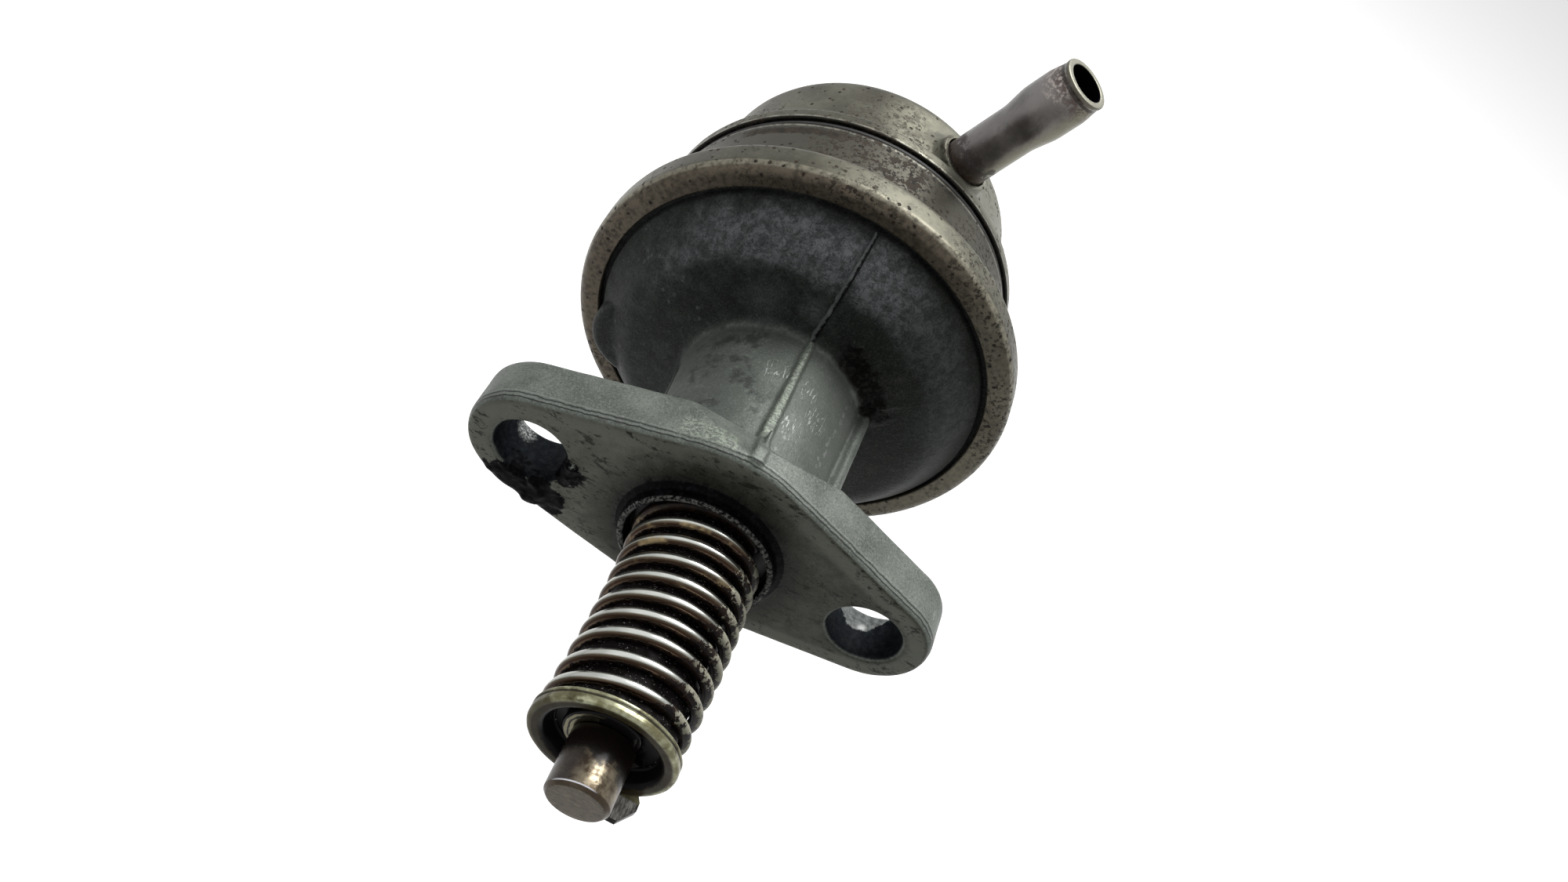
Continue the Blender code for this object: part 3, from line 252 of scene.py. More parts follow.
def cylinder(radius, low, high, segments):
    return lathe([(0.0, low), (radius, low), (radius, high), (0.0, high)], segments)


def loft(rings):
    """Verts and faces of a skin between rings of points, capped at both ends."""
    verts = [point for ring in rings for point in ring]
    count, faces = len(rings[0]), []
    for first in range(len(rings) - 1):
        low, high = first * count, (first + 1) * count
        for step in range(count):
            after = (step + 1) % count
            faces.append((low + step, low + after, high + after, high + step))
    faces.append(tuple(range(count))[::-1])
    faces.append(tuple(range(len(verts) - count, len(verts))))
    return verts, faces


def joined(*shapes):
    """Several shapes as one."""
    verts, faces = [], []
    for more_verts, more_faces in shapes:
        start = len(verts)
        verts.extend(more_verts)
        faces.extend(tuple(start + index for index in face) for face in more_faces)
    return verts, faces


def moved(shape, matrix):
    verts, faces = shape
    return [tuple(matrix @ Vector(vert)) for vert in verts], faces


def make(name, shape, paint=None, sharp=EDGE):
    """A closed mesh object whose faces look outwards."""
    verts, faces = shape
    mesh = bpy.data.meshes.new(name)
    mesh.from_pydata(placed(verts).tolist(), [], faces)
    work = bmesh.new()
    work.from_mesh(mesh)
    bmesh.ops.recalc_face_normals(work, faces=work.faces)
    work.to_mesh(mesh)
    work.free()
    mesh.shade_smooth()
    mesh.set_sharp_from_angle(angle=math.radians(sharp))
    thing = bpy.data.objects.new(name, mesh)
    bpy.context.collection.objects.link(thing)
    if paint:
        mesh.materials.append(paint)
    return thing


def combine(target, guide, operation):
    """A boolean step on target with a shape or an object, which bake() removes."""
    step = target.modifiers.new("step", "BOOLEAN")
    step.operation = operation
    step.solver = "EXACT"
    step.object = make("guide", guide) if isinstance(guide, tuple) else guide


def bake(thing):
    """Turns an object's modifiers into its mesh and removes their guides."""
    guides = [step.object for step in thing.modifiers if step.type == "BOOLEAN"]
    graph = bpy.context.evaluated_depsgraph_get()
    mesh = bpy.data.meshes.new_from_object(thing.evaluated_get(graph))
    thing.modifiers.clear()
    thing.data = mesh
    for guide in guides:
        bpy.data.objects.remove(guide, do_unlink=True)


def points_of(thing):
    """The mesh's points and normals in pump millimetres."""
    both = []
    for name, unit in (("co", MM), ("normal", 1.0)):
        flat = np.empty(len(thing.data.vertices) * 3)
        thing.data.vertices.foreach_get(name, flat)
        x, y, z = flat.reshape(-1, 3).T / unit
        both.append(np.stack([x, -z, y], 1))
    return both


def set_points(thing, points):
    thing.data.vertices.foreach_set("co", placed(points).ravel())
    thing.data.update()


def wobble(thing, size, depth, seed):
    """Moves the surface in and out a little, as on worn sheet metal."""
    points, normals = points_of(thing)
    shift = layered(points, size, seed, 2) * depth
    set_points(thing, points + normals * shift[:, None])


# Paint helpers
class Value:
    """A node's output; arithmetic with it adds further nodes to its paint."""

    def __init__(self, paint, socket):
        self.paint = paint
        self.socket = socket

    def __add__(self, other):
        return self.paint.math("ADD", self, other)

    def __sub__(self, other):
        return self.paint.math("SUBTRACT", self, other)

    def __rsub__(self, other):
        return self.paint.math("SUBTRACT", other, self)

    def __mul__(self, other):
        return self.paint.math("MULTIPLY", self, other)

    def __abs__(self):
        return self.paint.math("ABSOLUTE", self)

    def band(self, low, high):
        """0 below low, 1 above high, smooth between; low may be above high."""
        ends = (1.0, 0.0) if low > high else (0.0, 1.0)
        return self.paint.node("ShaderNodeMapRange", "Result", {
            "Value": self, "From Min": min(low, high), "From Max": max(low, high),
            "To Min": ends[0], "To Max": ends[1]}, interpolation_type="SMOOTHSTEP")

    def line(self, middle, half):
        """1 at middle, 0 from half away on."""
        return abs(self - middle).band(half, half * 0.4)

    def lay(self, colour, amount):
        """Covers this colour with another one, fully where amount is 1."""
        self.socket = self.paint.mix(amount, self, colour).socket


class Tree:
    """A node tree that is filled node by node."""

    def __init__(self, tree):
        self.tree = tree

    def node(self, kind, output, inputs, **settings):
        """Adds a node, fills its inputs and gives one of its outputs."""
        node = self.tree.nodes.new(kind)
        for key, value in settings.items():
            setattr(node, key, value)
        for key, value in inputs.items():
            self.feed(node.inputs[key], value)
        return Value(self, node.outputs[output])

    def feed(self, socket, value):
        """Gives a socket another node's output or a constant."""
        if isinstance(value, Value):
            value = value.socket
        if isinstance(value, bpy.types.NodeSocket):
            self.tree.links.new(value, socket)
        elif isinstance(value, tuple) and socket.type == "RGBA":
            socket.default_value = (*value, 1.0)
        else:
            socket.default_value = value

    def math(self, operation, a, b=0.0):
        return self.node("ShaderNodeMath", 0, {0: a, 1: b}, operation=operation)

    def times(self, *values):
        return functools.reduce(lambda a, b: a * b, values)

    def most(self, *values):
        return functools.reduce(lambda a, b: self.math("MAXIMUM", a, b), values)

    def least(self, *values):
        return functools.reduce(lambda a, b: self.math("MINIMUM", a, b), values)

    def seen(self):
        """1 for camera, glossy and transmission rays."""
        path = self.tree.nodes.new("ShaderNodeLightPath").outputs
        return self.most(*(Value(self, path[f"Is {kind} Ray"])
                           for kind in ("Camera", "Glossy", "Transmission")))


class Paint(Tree):
    """One procedural material, in millimetres."""

    def __init__(self, name):
        self.material = bpy.data.materials.new(name)
        self.material.use_nodes = True
        super().__init__(self.material.node_tree)
        self.shader = self.tree.nodes["Principled BSDF"]
        coords = self.tree.nodes.new("ShaderNodeTexCoord").outputs
        self.place = self.node("ShaderNodeVectorMath", 0, {0: coords["Object"], "Scale": 1 / MM},
                               operation="SCALE")
        self.x, self.y, self.z = self.split(self.place)
        self.nx, self.ny, self.nz = self.split(coords["Normal"])

    def split(self, vector):
        node = self.tree.nodes.new("ShaderNodeSeparateXYZ")
        self.feed(node.inputs[0], vector)
        return [Value(self, output) for output in node.outputs]

    def across(self):
        """Distance from the pump's axis."""
        return self.math("SQRT", self.x * self.x + self.z * self.z)

    def noise(self, size, detail=3.0, rough=0.55, stretch=None, distort=0.0):
        place = self.place
        if stretch:
            place = self.node("ShaderNodeVectorMath", 0, {0: place, 1: stretch},
                              operation="MULTIPLY")
        return self.node("ShaderNodeTexNoise", "Fac", {
            "Vector": place, "Scale": 1 / size, "Detail": detail, "Roughness": rough,
            "Distortion": distort})

    def cells(self, size):
        """Distance from the nearest of scattered points."""
        return self.node("ShaderNodeTexVoronoi", "Distance",
                         {"Vector": self.place, "Scale": 1 / size})

    def near(self, centre, radius, soft, ragged=0.0, size=3.0):
        """1 within radius of a point in pump millimetres, with a ragged edge."""
        x, y, z = centre
        distance = self.node("ShaderNodeVectorMath", "Value", {0: self.place, 1: (x, z, -y)},
                             operation="DISTANCE")
        if ragged:
            distance = distance + self.noise(size, 4.0, 0.6) * (ragged * 2)
            radius += ragged
        return distance.band(radius, radius - soft)

    def mix(self, amount, a, b):
        """From colour a where amount is 0 to colour b where it is 1."""
        return self.node("ShaderNodeMix", 2, {0: amount, 6: a, 7: b}, data_type="RGBA")

    def blend(self, amount, a, b):
        """From number a where amount is 0 to number b where it is 1."""
        return self.node("ShaderNodeMix", 0, {0: amount, 2: a, 3: b}, data_type="FLOAT")

    def bump(self, height, strength, depth):
        """Fine relief, on top of what earlier calls gave."""
        normal = self.shader.inputs["Normal"]
        inputs = {"Strength": strength, "Distance": depth * MM, "Height": height}
        if normal.links:
            inputs["Normal"] = normal.links[0].from_socket
        self.feed(normal, self.node("ShaderNodeBump", 0, inputs))

    def finish(self, colour, rough, metal, specular=0.5):
        for name, value in (("Base Color", colour), ("Roughness", rough), ("Metallic", metal),
                            ("Specular IOR Level", specular)):
            self.feed(self.shader.inputs[name], value)
        return self.material


def casting_paint(seam=False):
    """Die-cast metal: fine grain, stains, bare edges, black grease and soot, with painted
    highlights, painted light and painted shade.
    """
    p = Paint("casting_seam" if seam else "die_casting")
    grain = p.noise(0.3, 3.0, 0.75)
    coarse = p.noise(0.8, 4.0, 0.7)
    blotch = p.noise(6.5, 5.0, 0.6)
    stain = p.noise(2.2, 4.0, 0.65)
    across = p.across()
    colour = p.mix(blotch.band(0.3, 0.7), (0.11, 0.123, 0.108), (0.196, 0.216, 0.19))
    colour.lay((0.3, 0.33, 0.3), grain.band(0.5, 0.68) * 0.5)
    colour.lay((0.035, 0.04, 0.035), grain.band(0.46, 0.3) * 0.55)
    # the neck is smoother, lighter on the right as painted sheen and darker on the left as painted
    # shade, with dark smudges on the left
    neck = p.y.band(8.0, 9.5) * p.y.band(29.5, 28.5) * across.band(14.2, 13.6)
    side = (p.x + blotch * 8.0).band(-6.0, 8.0)
    # painted sheen on the right side and painted shade on the left
    worn = p.mix(side, (0.106, 0.114, 0.107), (0.135, 0.147, 0.13))
    colour.lay(worn, neck * coarse.band(0.3, 0.6) * 0.75)
    smudge = p.noise(3.5, 4.0, 0.65).band(0.5, 0.62) * p.x.band(2.0, -4.0)
    colour.lay((0.04, 0.043, 0.04), neck * smudge * 0.7)
    # the bell: dark and blue, darker on the right as painted shade, with a painted highlight along
    # its crest, painted light in pale patches by the neck and a faint painted haze on the right
    bell = (p.y + stain * 1.5).band(28.8, 30.2)
    ring = across + blotch * 6.0
    crest = p.times(ring.band(23.6, 26.2), ring.band(31.4, 29.6), p.z.band(-12.0, 14.0),
                    p.blend(p.x.band(3.0, 15.0), 1.0, 0.3))
    dark = p.mix(stain.band(0.35, 0.7), (0.024, 0.027, 0.025), (0.05, 0.057, 0.052))
    shade = (p.x + blotch * 8.0).band(4.0, 14.0)
    dark.lay((0.015, 0.018, 0.014), shade * 0.75)
    hide = p.noise(1.4, 6.0, 0.75, distort=0.3)
    wrinkle = p.blend(hide.band(0.4, 0.6), 0.3, 1.0)
    wrinkle = wrinkle * (p.x + stain * 8.0).band(-22.0, -12.0)
    # painted highlight on the crest, with the bell's leathery texture in it
    dark.lay((0.205, 0.214, 0.222), crest * wrinkle)
    # painted light: two pale patches by the neck and a faint haze on the right
    dark.lay((0.12, 0.13, 0.13), p.near((-7.5, -14.6, 30.8), 5.0, 4.0, 2.0, 3.0) * 0.55)
    dark.lay((0.15, 0.158, 0.158), p.near((-1.0, -17.0, 31.5), 3.6, 2.5, 1.6, 2.0) * 0.6)
    dark.lay((0.085, 0.1, 0.095), p.near((20.5, -8.0, 31.5), 5.0, 4.5, 2.0, 3.0) * 0.2)
    dark.lay((0.15, 0.16, 0.15), grain.band(0.5, 0.62) * 0.22)
    veins = p.noise(1.6, 5.0, 0.7, distort=1.5).line(0.5, 0.03)
    dark.lay((0.008, 0.009, 0.009), veins * 0.6)
    colour.lay(dark, bell)
    # distance from the flange's edge on its front face
    wide = abs(p.x)
    front_line = wide * 0.368 + p.z * 0.93
    back_line = wide * 0.219 + p.z * -0.976
    ear = p.most(wide - HOLE_OFFSET, 0.0)
    ear = p.math("SQRT", ear * ear + p.z * p.z) * p.math("GREATER_THAN", wide, HOLE_OFFSET)
    inside = p.least(WAIST_FRONT - front_line, WAIST_BACK - back_line, EAR_RADIUS - ear)
    face = p.ny.band(-0.7, -0.92) * p.y.band(1.0, 0.5)
    front_face_colour = p.mix(stain.band(0.35, 0.65), (0.064, 0.066, 0.052), (0.128, 0.133, 0.108))
    front_face_colour.lay((0.032, 0.036, 0.026), p.x.band(-4.0, 20.0) * 0.5)
    front_face_colour.lay((0.05, 0.048, 0.036), blotch.band(0.42, 0.7) * 0.7)
    front_face_colour.lay((0.17, 0.176, 0.145), p.x.band(-7.0, -18.0) * 0.4)
    border = inside.band(0.5, 1.0) * inside.band(3.6, 2.4) * 0.65
    front_face_colour.lay((0.15, 0.156, 0.13), border)
    # painted shade darkening the front face towards the spigot
    front_face_colour.lay(CAKED_OIL_AND_SHADE, across.band(17.0, 11.0) * 0.85)
    pits = p.most(p.noise(0.9, 4.0, 0.7, stretch=(0.6, 1.0, 1.5)).band(0.57, 0.6),
                  p.noise(2.6, 5.0, 0.75, stretch=(0.6, 1.0, 1.5)).band(0.57, 0.59))
    front_face_colour.lay(CAKED_OIL_AND_SHADE, pits * blotch.band(0.42, 0.52) * 0.85)
    front_face_colour.lay((0.2, 0.2, 0.17), grain.band(0.55, 0.75) * 0.3)
    colour.lay(front_face_colour, face)
    # the mould's double line just behind the front edge
    level = p.y + p.noise(1.8, 3.0, 0.6) * 0.5
    rim = p.ny.band(-0.75, -0.45) * across.band(12.5, 13.5)
    colour.lay((0.02, 0.02, 0.02), rim * level.line(0.95, 0.13) * 0.85)
    colour.lay((0.26, 0.28, 0.26), rim * level.line(1.2, 0.13) * 0.45)
    colour.lay((0.02, 0.02, 0.02), rim * level.line(1.5, 0.13) * 0.8)
    colour.lay((0.28, 0.3, 0.28), rim * level.line(1.85, 0.15) * 0.4)
    # edges worn bright and given a painted highlight, hollows darkened with painted shade
    sharp = p.node("ShaderNodeNewGeometry", "Pointiness", {})
    edge = sharp.band(0.53, 0.6) * coarse.band(0.35, 0.6) * p.blend(bell, 0.7, 0.25)
    colour.lay((0.3, 0.32, 0.3), edge)
    colour.lay((0.015, 0.015, 0.015), sharp.band(0.48, 0.42) * 0.6)
    # the ridge's facet and a streaky patch on the flange's edge are bare
    rise = across - p.y * 0.039
    ridge = rise.band(12.3, 12.5) * p.x.line(0.4, 1.6) * p.y.band(7.0, 8.5) * p.y.band(28.8, 28.0)
    patch = p.times(p.x.band(-10.2, -9.2), p.x.band(-2.2, -3.0), p.y.band(0.9, 1.7),
                    p.y.band(4.9, 3.9), p.z.band(14.6, 15.4))
    bare = p.mix(p.noise(0.28, 4.0, 0.75, stretch=(0.5, 1.0, 1.0)).band(0.42, 0.6),
                 (0.13, 0.145, 0.125), (0.36, 0.4, 0.33))
    colour.lay(bare, p.most(ridge, patch) * 0.75)
    # scratches and flecks on the neck
    scratch = p.noise(0.7, 2.0, 0.5, stretch=(2.2, 0.35, 2.2), distort=1.5).band(0.6, 0.63)
    place = p.most(p.near((-1.5, -12.8, 21.2), 2.6, 1.2), p.near((3.0, -12.4, 21.0), 2.0, 1.0),
                   p.near((6.0, -11.4, 18.0), 2.6, 1.2), p.near((3.0, -13.0, 14.0), 3.0, 2.0))
    colour.lay((0.5, 0.52, 0.5), scratch * place * 0.9)
    # dark bolt-hole walls with painted light on part of each, black grease by the left one and
    # round the spigot, soot beside the neck
    left_hole = p.x + HOLE_OFFSET
    right_hole = p.x - HOLE_OFFSET
    level_square = p.z * p.z
    bore = p.least(left_hole * left_hole + level_square, right_hole * right_hole + level_square)
    bore = (bore + stain * 5.0).band(31.0, 28.0) * p.y.band(9.5, 8.5)
    wall = p.mix(coarse.band(0.4, 0.7), (0.01, 0.012, 0.015), (0.024, 0.028, 0.031))
    slant = p.x - (HOLE_OFFSET - 0.2)
    deep = p.y + coarse * 1.5 - slant * slant * 0.2
    # painted light: a pool of light on the far wall of the right bore, with a painted glint
    lit = deep.band(4.6, 5.0) * p.z.band(0.5, -1.0) * p.x.band(0.0, 1.0)
    lit_wall_colour = p.mix(coarse.band(0.35, 0.65), (0.13, 0.142, 0.138), (0.3, 0.32, 0.31))
    lit_wall_colour.lay((0.8, 0.82, 0.8), p.near((25.0, 4.9, 4.7), 0.9, 0.8, 0.5, 0.8))
    # painted light: a speckled pool of light on the left bore's wall
    speck = p.near((-26.4, 4.5, 6.4), 1.9, 1.2, 0.8, 0.8)
    speckled_lit_wall = p.mix(grain.band(0.42, 0.58), (0.06, 0.065, 0.065), (0.62, 0.64, 0.62))
    wall.lay(speckled_lit_wall, speck)
    colour.lay(p.mix(lit, wall, lit_wall_colour), bore)
    low = p.y.band(6.0, 4.5)
    grease = p.most(p.near((-25.5, 8.4, 0.0), 4.4, 0.5, 2.4, 1.6) * low,
                    p.near((-20.6, 7.2, 0.0), 3.8, 0.5, 2.4, 1.6) * low,
                    p.near((-19.2, 0.2, 0.0), 2.8, 0.4, 2.4, 1.0) * low,
                    (across + stain * 4.5).band(14.2, 13.0) * face)
    collar = across.band(11.6, 11.3) * p.y.band(1.0, 0.3)
    crust = across + p.noise(1.5, 5.0, 0.75) * 7.0
    soot = crust.band(20.6, 20.2) * p.x.band(3.4, 6.0) * p.z.band(4.0, 6.0) * p.y.band(28.0, 29.0)
    fleck = p.noise(0.7, 5.0, 0.75)
    soot = soot * fleck.band(0.66, 0.58)
    black = p.most(grease, soot, collar)
    tar = p.mix(coarse.band(0.45, 0.7), (0.003, 0.003, 0.004), (0.018, 0.017, 0.02))
    tar.lay(p.mix(fleck.band(0.45, 0.6), (0.009, 0.008, 0.0075), (0.03, 0.029, 0.027)), soot)
    colour.lay(tar, black)
    # the spigot's rim carries a painted highlight
    spigot_rim_highlight = p.y.band(-1.7, -1.85) * across.band(9.4, 9.7) * p.noise(0.5, 5.0, 0.75).band(0.44, 0.56)
    colour.lay((0.24, 0.24, 0.225), spigot_rim_highlight * 0.9)
    rough = p.blend(stain, 0.36, 0.55)
    rough = p.blend(black, rough, 0.3)
    metal = p.blend(p.most(black, bore, bell * 0.7), 0.3, 0.0)
    dull = p.most(black, bore, bell * 0.7, face * 0.6)
    if seam:
        # the seam is black, partly for the crack and partly as painted shadow beside its fin, with
        # a paler left border
        broken = p.x + p.noise(0.9, 4.0, 0.7) * 1.2
        border = broken.band(RIDGE_OFFSET + 0.66, RIDGE_OFFSET + 0.42)
        colour = p.mix(border, (0.005, 0.005, 0.005), (0.14, 0.15, 0.15))
        metal = 0.1
    p.bump(grain, 0.6, 0.12)
    p.bump(coarse, 0.35, 0.15)
    p.bump(hide * bell, 0.5, 0.3)
    return p.finish(colour, rough, metal, p.blend(dull, 0.15, 0.02))


def shell_paint(name):
    """Dull yellowish zinc on sheet steel, with rust specks in clusters."""
    p = Paint(name)
    cloud = p.noise(9.0, 4.0, 0.6)
    fine = p.noise(0.9, 4.0, 0.65)
    grain = p.noise(0.45, 4.0, 0.75)
    across = p.across()
    colour = p.mix(cloud.band(0.3, 0.7), (0.07, 0.067, 0.05), (0.15, 0.146, 0.11))
    colour.lay((0.06, 0.057, 0.045), fine.band(0.48, 0.7) * 0.45)
    colour.lay((0.3, 0.295, 0.24), grain.band(0.55, 0.75) * 0.35)
    # the bead's underside has browned, and its round front carries a painted highlight line
    # the drum's wall toned darker, most of all on the left as painted shade
    drum = p.y.band(42.5, 43.5) * p.y.band(57.0, 56.4)
    colour.lay((0.055, 0.052, 0.04), drum * p.blend(p.x.band(8.0, 20.0), 0.85, 0.3))
    # painted light on the cap's right side
    cap_right_light = p.y.band(57.6, 59.0) * p.x.band(2.0, 18.0) * 0.75
    colour.lay((0.3, 0.3, 0.25), cap_right_light)
    right = p.x.band(10.0, 22.0)
    under = p.ny.band(-0.25, -0.8) * p.y.band(42.0, 40.0) * p.blend(right, 1.0, 0.55)
    brown = p.mix(fine.band(0.4, 0.65), (0.115, 0.093, 0.07), (0.05, 0.04, 0.03))
    colour.lay(brown, under * 0.8)
    bead_highlight = p.ny.line(-0.42, 0.3) * p.y.band(40.5, 39.0) * across.band(30.4, 31.4)
    colour.lay((0.5, 0.47, 0.37), bead_highlight * fine.band(0.75, 0.35) * 0.4)
    # painted highlights on the edges either side of the dark slot, painted shade in the slot, and
    # darker lines near the corners beside them
    slot = p.most(p.y.line(DRUM_TOP - 0.65, 0.25), p.y.line(BAND_LOW + 0.5, 0.22))
    shade = abs(p.y - (DRUM_TOP + BAND_LOW) / 2).band(0.75, 0.6)
    corner_lines = p.most(p.y.line(DRUM_TOP - 1.0, 0.9), p.y.line(BEAD_TOP + 0.3, 0.9),
                   p.y.line(BAND_TOP + 0.8, 0.9))
    colour.lay((0.035, 0.032, 0.026), corner_lines * fine.band(0.35, 0.6) * 0.6)
    colour.lay((0.5, 0.49, 0.42), slot * fine.band(0.7, 0.4) * 0.45)
    colour.lay((0.006, 0.006, 0.005), shade * 0.95)
    # rust: fine pepper, dots and flat dark patches, thickest on the drum's upper left
    cluster = p.most(p.noise(11.0, 3.0, 0.6).band(0.45, 0.62) * 0.9,
                     p.near((-3.0, -27.5, 50.0), 12.0, 4.0, 3.0, 3.0),
                     p.near((-4.0, -24.0, 68.0), 9.0, 6.0, 3.0, 3.0) * 0.7,
                     p.near((18.0, -26.0, 40.0), 12.0, 6.0, 3.0, 3.0) * 0.8,
                     p.near((30.0, -10.0, 40.0), 12.0, 5.0, 3.0, 3.0) * 0.9)
    pepper = p.noise(0.7, 5.0, 0.75).band(0.535, 0.56) * cluster
    dots = p.cells(1.3).band(0.27, 0.17) * p.noise(1.8, 2.0).band(0.42, 0.52)
    bald = p.most(p.near((-3.0, -27.5, 50.0), 10.0, 4.0, 3.0, 3.0),
                  p.near((-4.0, -24.0, 68.0), 9.0, 6.0, 3.0, 3.0) * 0.4)
    patch = p.noise(2.2, 5.0, 0.75).band(0.52, 0.55) * bald
    smear = p.times((p.y + fine * 2.0).line(55.2, 1.1), p.x.band(-22.0, -20.0),
                    p.x.band(-8.0, -10.0), p.z.band(10.0, 14.0))
    rust = p.most(pepper * 0.9, dots * 0.9, patch * 0.85, smear * 0.8)
    tone = p.mix(p.noise(1.1, 3.0).band(0.4, 0.6), (0.01, 0.008, 0.006), (0.034, 0.023, 0.015))
    colour.lay(tone, rust)
    rough = p.blend(rust, p.blend(cloud, 0.3, 0.46), 0.7)
    metal = p.blend(rust, 0.6, 0.05)
    p.bump(p.noise(0.5, 3.0, 0.6, stretch=(0.25, 3.0, 0.25)), 0.15, 0.06)
    p.bump(grain, 0.25, 0.06)
    p.bump(rust, 0.4, -0.08)
    return p.finish(colour, rough, metal, 0.15)


def pipe_paint():
    """Plated tube: grey with purple smudges, dark and rusty at its root."""
    p = Paint("pipe_steel")
    cloud = p.noise(5.0, 4.0, 0.6)
    fine = p.noise(0.7, 4.0, 0.7)
    smear = p.noise(2.5, 4.0, 0.65, stretch=(1.0, 1.0, 0.4))
    colour = p.mix(cloud.band(0.35, 0.65), (0.155, 0.142, 0.135), (0.27, 0.252, 0.236))
    lean = (math.cos(PIPE_ANGLE), -math.sin(PIPE_ANGLE))
    off = p.x * lean[1] - p.z * lean[0]
    rise = p.y - PIPE_LEVEL
    # painted light on the upper-left flank and a painted olive reflection along the lower-right
    # flank
    colour.lay((0.34, 0.325, 0.325), off.band(-1.2, -3.2) * 0.5)
    colour.lay((0.23, 0.222, 0.145), off.band(0.3, 2.6) * 0.75)
    colour.lay((0.085, 0.073, 0.08), smear.band(0.5, 0.7) * 0.5)
    colour.lay((0.34, 0.32, 0.28), fine.band(0.55, 0.75) * 0.4)
    out = p.across()
    ragged = out + p.noise(2.2, 4.0, 0.6) * 6.0
    root = ragged.band(33.5, 32.5) * p.noise(1.6, 4.0, 0.7).band(0.36, 0.46)
    colour.lay((0.045, 0.036, 0.034), root * 0.7)
    foot = out.band(28.6, 27.2) * fine.band(0.35, 0.6)
    colour.lay((0.07, 0.04, 0.022), foot * 0.8)
    speck = p.noise(0.7, 5.0, 0.75)
    tip = out.band(44.0, 47.0) * speck.band(0.42, 0.56)
    colour.lay((0.075, 0.042, 0.028), tip * 0.75)
    spark = p.times(out.band(43.0, 45.0), out.band(47.4, 46.8), off.band(-0.8, -2.2),
                    speck.band(0.5, 0.42))
    colour.lay((0.6, 0.52, 0.47), spark * 0.7)
    groove = out.line(47.35, 0.35)
    colour.lay((0.02, 0.016, 0.014), groove * 0.75)
    collar = out.band(47.7, 47.9)
    colour.lay((0.14, 0.135, 0.1), collar * 0.8)
    facing = abs(p.nx * lean[0] + p.nz * lean[1])
    rim = out.band(47.8, 48.0) * facing.band(0.72, 0.92)
    colour.lay((0.29, 0.285, 0.225), rim * fine.band(0.8, 0.5))
    bore = (off * off + rise * rise).band(9.6, 8.9)
    colour.lay((0.004, 0.004, 0.006), bore)
    rough = p.blend(root, p.blend(cloud, 0.24, 0.4), 0.55)
    p.bump(p.noise(1.2, 4.0, 0.6), 0.25, 0.1)
    return p.finish(colour, rough, p.blend(bore, 0.45, 0.2), p.blend(bore, 0.3, 0.02))


def wire_paint():
    """Bright drawn wire with painted highlights and painted reflections round its top side; a dark
    film with a ragged edge covers its lower side as painted shade and its right side as black oil.
    """
    p = Paint("oily_wire")
    ragged = p.noise(0.9, 5.0, 0.75)
    cloud = p.noise(4.0, 3.0, 0.6)
    # which way the wire's skin looks: up is towards the flange and the top side
    up = p.ny * 0.72 + p.nz * 0.5 + p.nx * -0.3
    # a painted sheen, with the wire's top side painted brighter on the left than on the right
    sheen = (p.x + cloud * 4.0).line(0.8, 4.2)
    top = p.mix(p.x.band(3.0, 5.0), (0.42, 0.43, 0.4), (0.2, 0.2, 0.185))
    top.lay((0.64, 0.66, 0.62), sheen)
    # painted light by which way the skin looks: light steel on the top side, dark painted shade
    # below it, and a paler painted reflection at the very bottom
    steel = p.mix(up.band(0.04, 0.36), (0.06, 0.047, 0.031), top)
    steel.lay((0.028, 0.016, 0.011), up.band(-0.02, -0.2))
    steel.lay((0.12, 0.085, 0.055), up.band(-0.35, -0.5) * 0.7)
    gold = cloud.band(0.52, 0.7) * p.y.band(-16.0, -6.0)
    steel.lay((0.36, 0.28, 0.15), gold * 0.6)
    # oil by place across the spring, ragged, and a dark film on the wire's underside as painted
    # shade
    right = (p.x + p.y * -0.12 + ragged * 7.0 + up * -2.6).band(9.6, 9.9)
    underside_shade = (up + ragged * 0.9).band(-0.08, -0.14)
    film = p.most(right, underside_shade, p.y.band(-2.2, -1.2))
    brown = p.mix(ragged.band(0.4, 0.65), (0.008, 0.006, 0.006), (0.03, 0.017, 0.012))
    colour = p.mix(film, steel, brown)
    # on the right the wire's outer side is dull and pale where the oil has dried off
    dry = p.times(p.x.band(4.0, 5.5), p.y.band(-2.0, -4.0), p.blend(p.z.band(-2.5, -0.5), 0.3, 1.0),
                  (p.nx + p.noise(1.5, 5.0, 0.75) * 5.0).band(3.1, 3.2))
    colour.lay((0.46, 0.45, 0.35), dry * 0.85)
    rough = p.blend(film, p.blend(cloud, 0.14, 0.26), 0.3)
    rough = p.blend(dry, rough, 0.5)
    p.bump(film, 0.5, 0.12)
    p.bump(ragged, 0.15, 0.05)
    return p.finish(colour, rough, p.blend(film, 0.97, 0.0), p.blend(film, 0.35, 0.08))


def grease_paint():
    """Black oil with a few pale flecks painted as glints."""
    p = Paint("black_grease")
    lumps = p.noise(1.2, 4.0, 0.65)
    colour = p.mix(lumps, (0.002, 0.0015, 0.002), (0.009, 0.007, 0.006))
    # pale flecks painted as glints on the oil
    fleck = p.noise(0.35, 3.0, 0.6, stretch=(1.0, 2.5, 1.0)).band(0.65, 0.67)
    colour.lay((0.35, 0.34, 0.32), fleck)
    p.bump(lumps, 0.4, 0.2)
    return p.finish(colour, p.blend(lumps, 0.25, 0.45), 0.0, 0.03)


